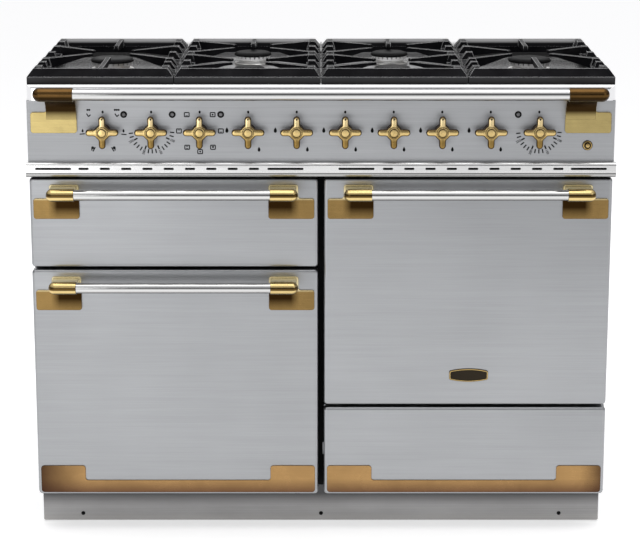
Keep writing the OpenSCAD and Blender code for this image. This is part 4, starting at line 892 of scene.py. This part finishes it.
def grill_marks(bm, number):
    """Strokes, dots and flames on both sides of the knob."""
    x0 = knob_x(number)
    for side, dots in ((-1, 2), (1, 3)):
        x = x0 + side * 26.3
        for k in range(dots):
            mark_disc(bm, x + (k - (dots - 1) / 2) * 3.6, KNOB_Z + 39.6, 1.9)
        mark_bar(bm, x - 3.6, KNOB_Z + 32.8, x, KNOB_Z + 27.0, 2.1)
        mark_bar(bm, x, KNOB_Z + 27.0, x + 3.8, KNOB_Z + 30.8, 2.1)
        mark_flame(bm, x0 + side * 38.0, KNOB_Z - 0.2, 4.2)
        middle = x0 + side * 38.8
        mark_bar(bm, middle - 4.8, KNOB_Z - 6.0, middle + 4.8, KNOB_Z - 6.0 - side * 0.8, 2.1)
        mark_disc(bm, x0 + side * 20.0, KNOB_Z - 31.6, 2.7)
        mark_bar(bm, x0 + side * 15.2, KNOB_Z - 30.6, x0 + side * 19.6, KNOB_Z - 38.6, 2.2)
        mark_bar(bm, x0 + side * 21.6, KNOB_Z - 31.2, x0 + side * 21.6, KNOB_Z - 37.0, 2.0)


def function_marks(bm, number):
    """Seven squares round the knob, with lines or a dot in each."""
    for k, angle in enumerate((322, 270, 218, 180, 142, 90, 38)):
        x, z = around(number, angle, 39.0)
        mark_frame(bm, x, z, 8.8, 7.8)
        if k in (0, 2, 5):
            mark_bar(bm, x - 2.3, z - 1.9, x + 2.3, z - 1.9, 1.2)
        if k in (1, 2, 4):
            mark_bar(bm, x - 2.3, z + 1.8, x + 2.3, z + 1.8, 1.2)
        if k in (3, 4, 6):
            mark_disc(bm, x, z, 1.7, count=12)


for number in range(1, 11):
    bm = bmesh.new()
    x0 = knob_x(number)
    mark_disc(bm, x0, KNOB_Z + 35.6, 2.0, 2.8)
    if 4 <= number <= 9:
        gas_marks(bm, number)
    elif number in (2, 10):
        thermostat_marks(bm, number)
    elif number == 1:
        grill_marks(bm, number)
    else:
        function_marks(bm, number)
    finish_piece(f"dial_marks_{number}", bm, BODY, EXTRA["ink"])


# Indicator lenses in their rims, the ignition bezel, plinth screws and the bare plate

LENSES = (-366.0, -276.0, -186.0, 366.0)
LENS_Z = KNOB_Z + 31.0
rims = bmesh.new()
glass = bmesh.new()
for x in LENSES:
    place = (x, PANEL_Y, LENS_Z)
    turned(rims, [(3.6, 0.6), (3.9, 1.9), (4.4, 2.3), (5.6, 2.1), (6.2, 1.4), (6.4, 0.0), (4.9, 0.0),
                  (4.9, -12.0), (3.6, -12.0)], place, 36)
    turned(glass, [(0.0, 2.3), (1.4, 2.15), (2.6, 1.7), (3.5, 0.9), (3.5, -8.0), (0.0, -8.0)], place, 32)
finish_piece("lens_rims", rims, BODY, EXTRA["rim_black"], ("indicator_lenses",))
finish_piece("lens_glasses", glass, BODY, MATERIALS["lens"])

button_low, button_high = corners("ignition_button")
BUTTON = ((button_low.x + button_high.x) / 2, PANEL_Y, (button_low.z + button_high.z) / 2)
bezel = bmesh.new()
turned(bezel, [(5.3, 0.0), (5.3, 1.6), (5.7, 2.3), (6.6, 2.9), (7.8, 2.8), (8.9, 2.0), (9.5, 0.9),
               (9.5, 0.0)], BUTTON, 40)
finish_piece("ignition_bezel", bezel, BODY, EXTRA["knob_brass"])

plinth_low = corners("plinth_panel")[0]
SCREW_Z = 17.0
screws = bmesh.new()
for x in (-468.0, 0.0, 468.0):
    place = (x, plinth_low.y, SCREW_Z)
    turned(screws, [(0.0, 1.0), (1.0, 1.1), (1.2, 2.0), (2.4, 1.9), (3.4, 1.3), (3.9, 0.4), (3.9, 0.0),
                    (2.0, 0.0), (2.0, -6.0), (0.0, -6.0)], place, 28)
finish_piece("plinth_screws", screws, BODY, EXTRA["rim_black"])


def barrel_outline(w, h, bulge, corner, steps=12):
    """A barrel: straight ends, bowed upper and lower edges."""
    points = []
    for s in (1, -1):
        for k in range(steps + 1):
            t = k / steps
            x = s * (w / 2 - corner) * (1 - 2 * t)
            points.append((x, s * (h / 2 - bulge * (2 * t - 1) ** 2)))
        points.append((-s * w / 2, s * (h / 2 - bulge - corner)))
        points.append((-s * w / 2, -s * (h / 2 - bulge - corner)))
    return points


door_low = corners("right_oven_door_panel")[0]
PLATE = (282.0, door_low.y, 317.0)              # middle of the bare plate, on the door's face
rim = bmesh.new()
outer = barrel_outline(74.0, 26.0, 4.0, 2.0)
mid = barrel_outline(72.4, 24.4, 4.0, 1.8)
inner = barrel_outline(69.6, 21.6, 3.8, 1.4)
loft(rim, [[(PLATE[0] + x, PLATE[1] + y, PLATE[2] + z) for x, z in ring] for ring, y in
           ((outer, 0.3), (outer, -1.6), (mid, -2.3), (inner, -2.2), (inner, -1.2), (inner, 0.3))])
finish_piece("plate_rim", rim, "right_oven_door", EXTRA["knob_brass"])
field = bmesh.new()
face = barrel_outline(69.4, 21.4, 3.8, 1.4)
slab(field, [(PLATE[0] + x, PLATE[2] + z) for x, z in face], PLATE[1] - 1.35, PLATE[1] + 0.2)
finish_piece("plate_field", field, "right_oven_door", EXTRA["plate_dark"])


# Rope seals round the oven and grill mouths

SEAL_Y = -220.86                                # middle of the rope, on the front of the frame


def rope_seal(name, liner):
    """A flattened rope that runs round the mouth of a liner."""
    low, high = corners(liner)
    cx, cz = (low.x + high.x) / 2, (low.z + high.z) / 2
    w, h = high.x - low.x + 12, high.z - low.z + 12
    corner = min((high.z - low.z) / 2, 28.0)
    bm = bmesh.new()
    rings = []
    section = 10
    for k in range(section):
        a = 2 * math.pi * k / section
        out, y = 3.6 * math.cos(a), 1.35 * math.sin(a)
        ring = rounded_outline(w + 2 * out, h + 2 * out, corner + out, 10)
        rings.append([(cx + x, SEAL_Y + y, cz + z) for x, z in ring])
    rings.append(rings[0])
    loft(bm, rings, False, False)
    finish_piece(name, bm, BODY, EXTRA["seal"])


rope_seal("left_oven_seal", "left_oven_liner")
rope_seal("right_oven_seal", "right_oven_liner")
rope_seal("grill_seal", "grill_chamber")


# Ceramic sleeves on the spark electrodes

# Middle and radius of each burner
BURNERS = ((-409.5, -20.5, 42.0), (-136.5, -138.5, 29.0), (-136.5, 67.5, 37.0),
           (136.5, -138.5, 35.0), (136.5, 67.5, 37.0), (409.5, -20.5, 42.0))
WELL_Z = 868.0
sleeves = bmesh.new()
for x, y, r in BURNERS:
    turned(sleeves, [(0.0, 0.5), (2.9, 0.5), (2.9, 9.0), (2.6, 10.2), (2.25, 10.8), (2.25, 14.1),
                     (0.0, 14.2)], (x, y + r + 3.5, WELL_Z), 24, "z")
finish_piece("spark_sleeves", sleeves, BODY, EXTRA["ceramic"])


# Floor

def floor_material():
    """Pale floor that glows a little, so that it meets the background."""
    g = Graph("pale_floor")
    g.constants(Metallic=0.0, Specular_IOR_Level=0.2)
    g.constants(Emission_Color=(1.0, 1.0, 1.0, 1.0), Emission_Strength=0.5)
    cloud = g.noise(g.point, 1.2, 4.0, 0.6)
    g.to_shader(g.mix(g.ramp(cloud, 0.3, 0.7), (0.83, 0.83, 0.83), (0.86, 0.86, 0.86)), "Base Color")
    g.to_shader(g.ramp(cloud, 0.3, 0.7, 0.62, 0.5), "Roughness")
    return g.mat


floor_mesh = bpy.data.meshes.new("floor")
half = 40.0
floor_corners = [(-half, -half, 0), (half, -half, 0), (half, half, 0), (-half, half, 0)]
floor_mesh.from_pydata(floor_corners, [], [(0, 1, 2, 3)])
floor_mesh.materials.append(floor_material())
floor = bpy.data.objects.new("floor", floor_mesh)
bpy.context.scene.collection.objects.link(floor)


# Studio light

def softbox(name, place, target, size, power, tint=(1.0, 1.0, 1.0)):
    """A rectangular light that faces its target."""
    data = bpy.data.lights.new(name, "AREA")
    data.shape = "RECTANGLE"
    data.size, data.size_y = size
    data.energy = power
    data.color = tint
    obj = bpy.data.objects.new(name, data)
    bpy.context.scene.collection.objects.link(obj)
    obj.location = place
    obj.rotation_euler = (Vector(target) - Vector(place)).to_track_quat("-Z", "Y").to_euler()
    return obj


softbox("overhead", (0.0, -0.6, 3.3), (0.0, 0.0, 0.6), (3.6, 2.4), 46.0, (1.0, 0.99, 0.975))
softbox("front_left", (-1.35, -3.5, 1.0), (-0.3, -0.27, 0.5), (1.2, 2.0), 11.0)
softbox("front_right", (3.1, -3.0, 1.9), (0.0, -0.2, 0.5), (1.4, 2.2), 10.0)
softbox("rear", (0.0, 3.4, 1.75), (0.0, 0.2, 0.8), (4.0, 1.7), 26.0)

# Surroundings: a grey that brightens upwards

world = bpy.data.worlds.new("studio")
world.use_nodes = True
bpy.context.scene.world = world
tree = world.node_tree
background = tree.nodes["Background"]
coord = tree.nodes.new("ShaderNodeTexCoord")
split = tree.nodes.new("ShaderNodeSeparateXYZ")
tree.links.new(coord.outputs["Generated"], split.inputs["Vector"])
blend = tree.nodes.new("ShaderNodeValToRGB")
tree.links.new(split.outputs["Z"], blend.inputs["Fac"])
TONES = ((0.0, 0.5), (0.02, 0.14), (0.25, 0.2), (0.45, 0.6), (0.7, 0.95), (1.0, 1.0))
ramp = blend.color_ramp
while len(ramp.elements) < len(TONES):
    ramp.elements.new(0.5)
for element, (height, tone) in zip(ramp.elements, TONES):
    element.position = height
    element.color = (tone, tone, tone * 1.02, 1.0)
tree.links.new(blend.outputs["Color"], background.inputs["Color"])
background.inputs["Strength"].default_value = 0.72


# Camera

camera_data = bpy.data.cameras.new("camera")
camera_data.sensor_width = 36.0
camera_data.lens = 116.5
camera_data.shift_x = -0.0015
camera_data.shift_y = -0.07
camera_data.clip_end = 100.0
camera = bpy.data.objects.new("camera", camera_data)
bpy.context.scene.collection.objects.link(camera)
camera.location = (0.0, -4.0645, 1.454)
camera.rotation_euler = Euler((math.radians(90.0 - 12.74), 0.0, 0.0))
bpy.context.scene.camera = camera

bpy.context.scene.view_settings.view_transform = "Standard"
bpy.context.scene.view_settings.look = "None"

bpy.context.view_layer.update()
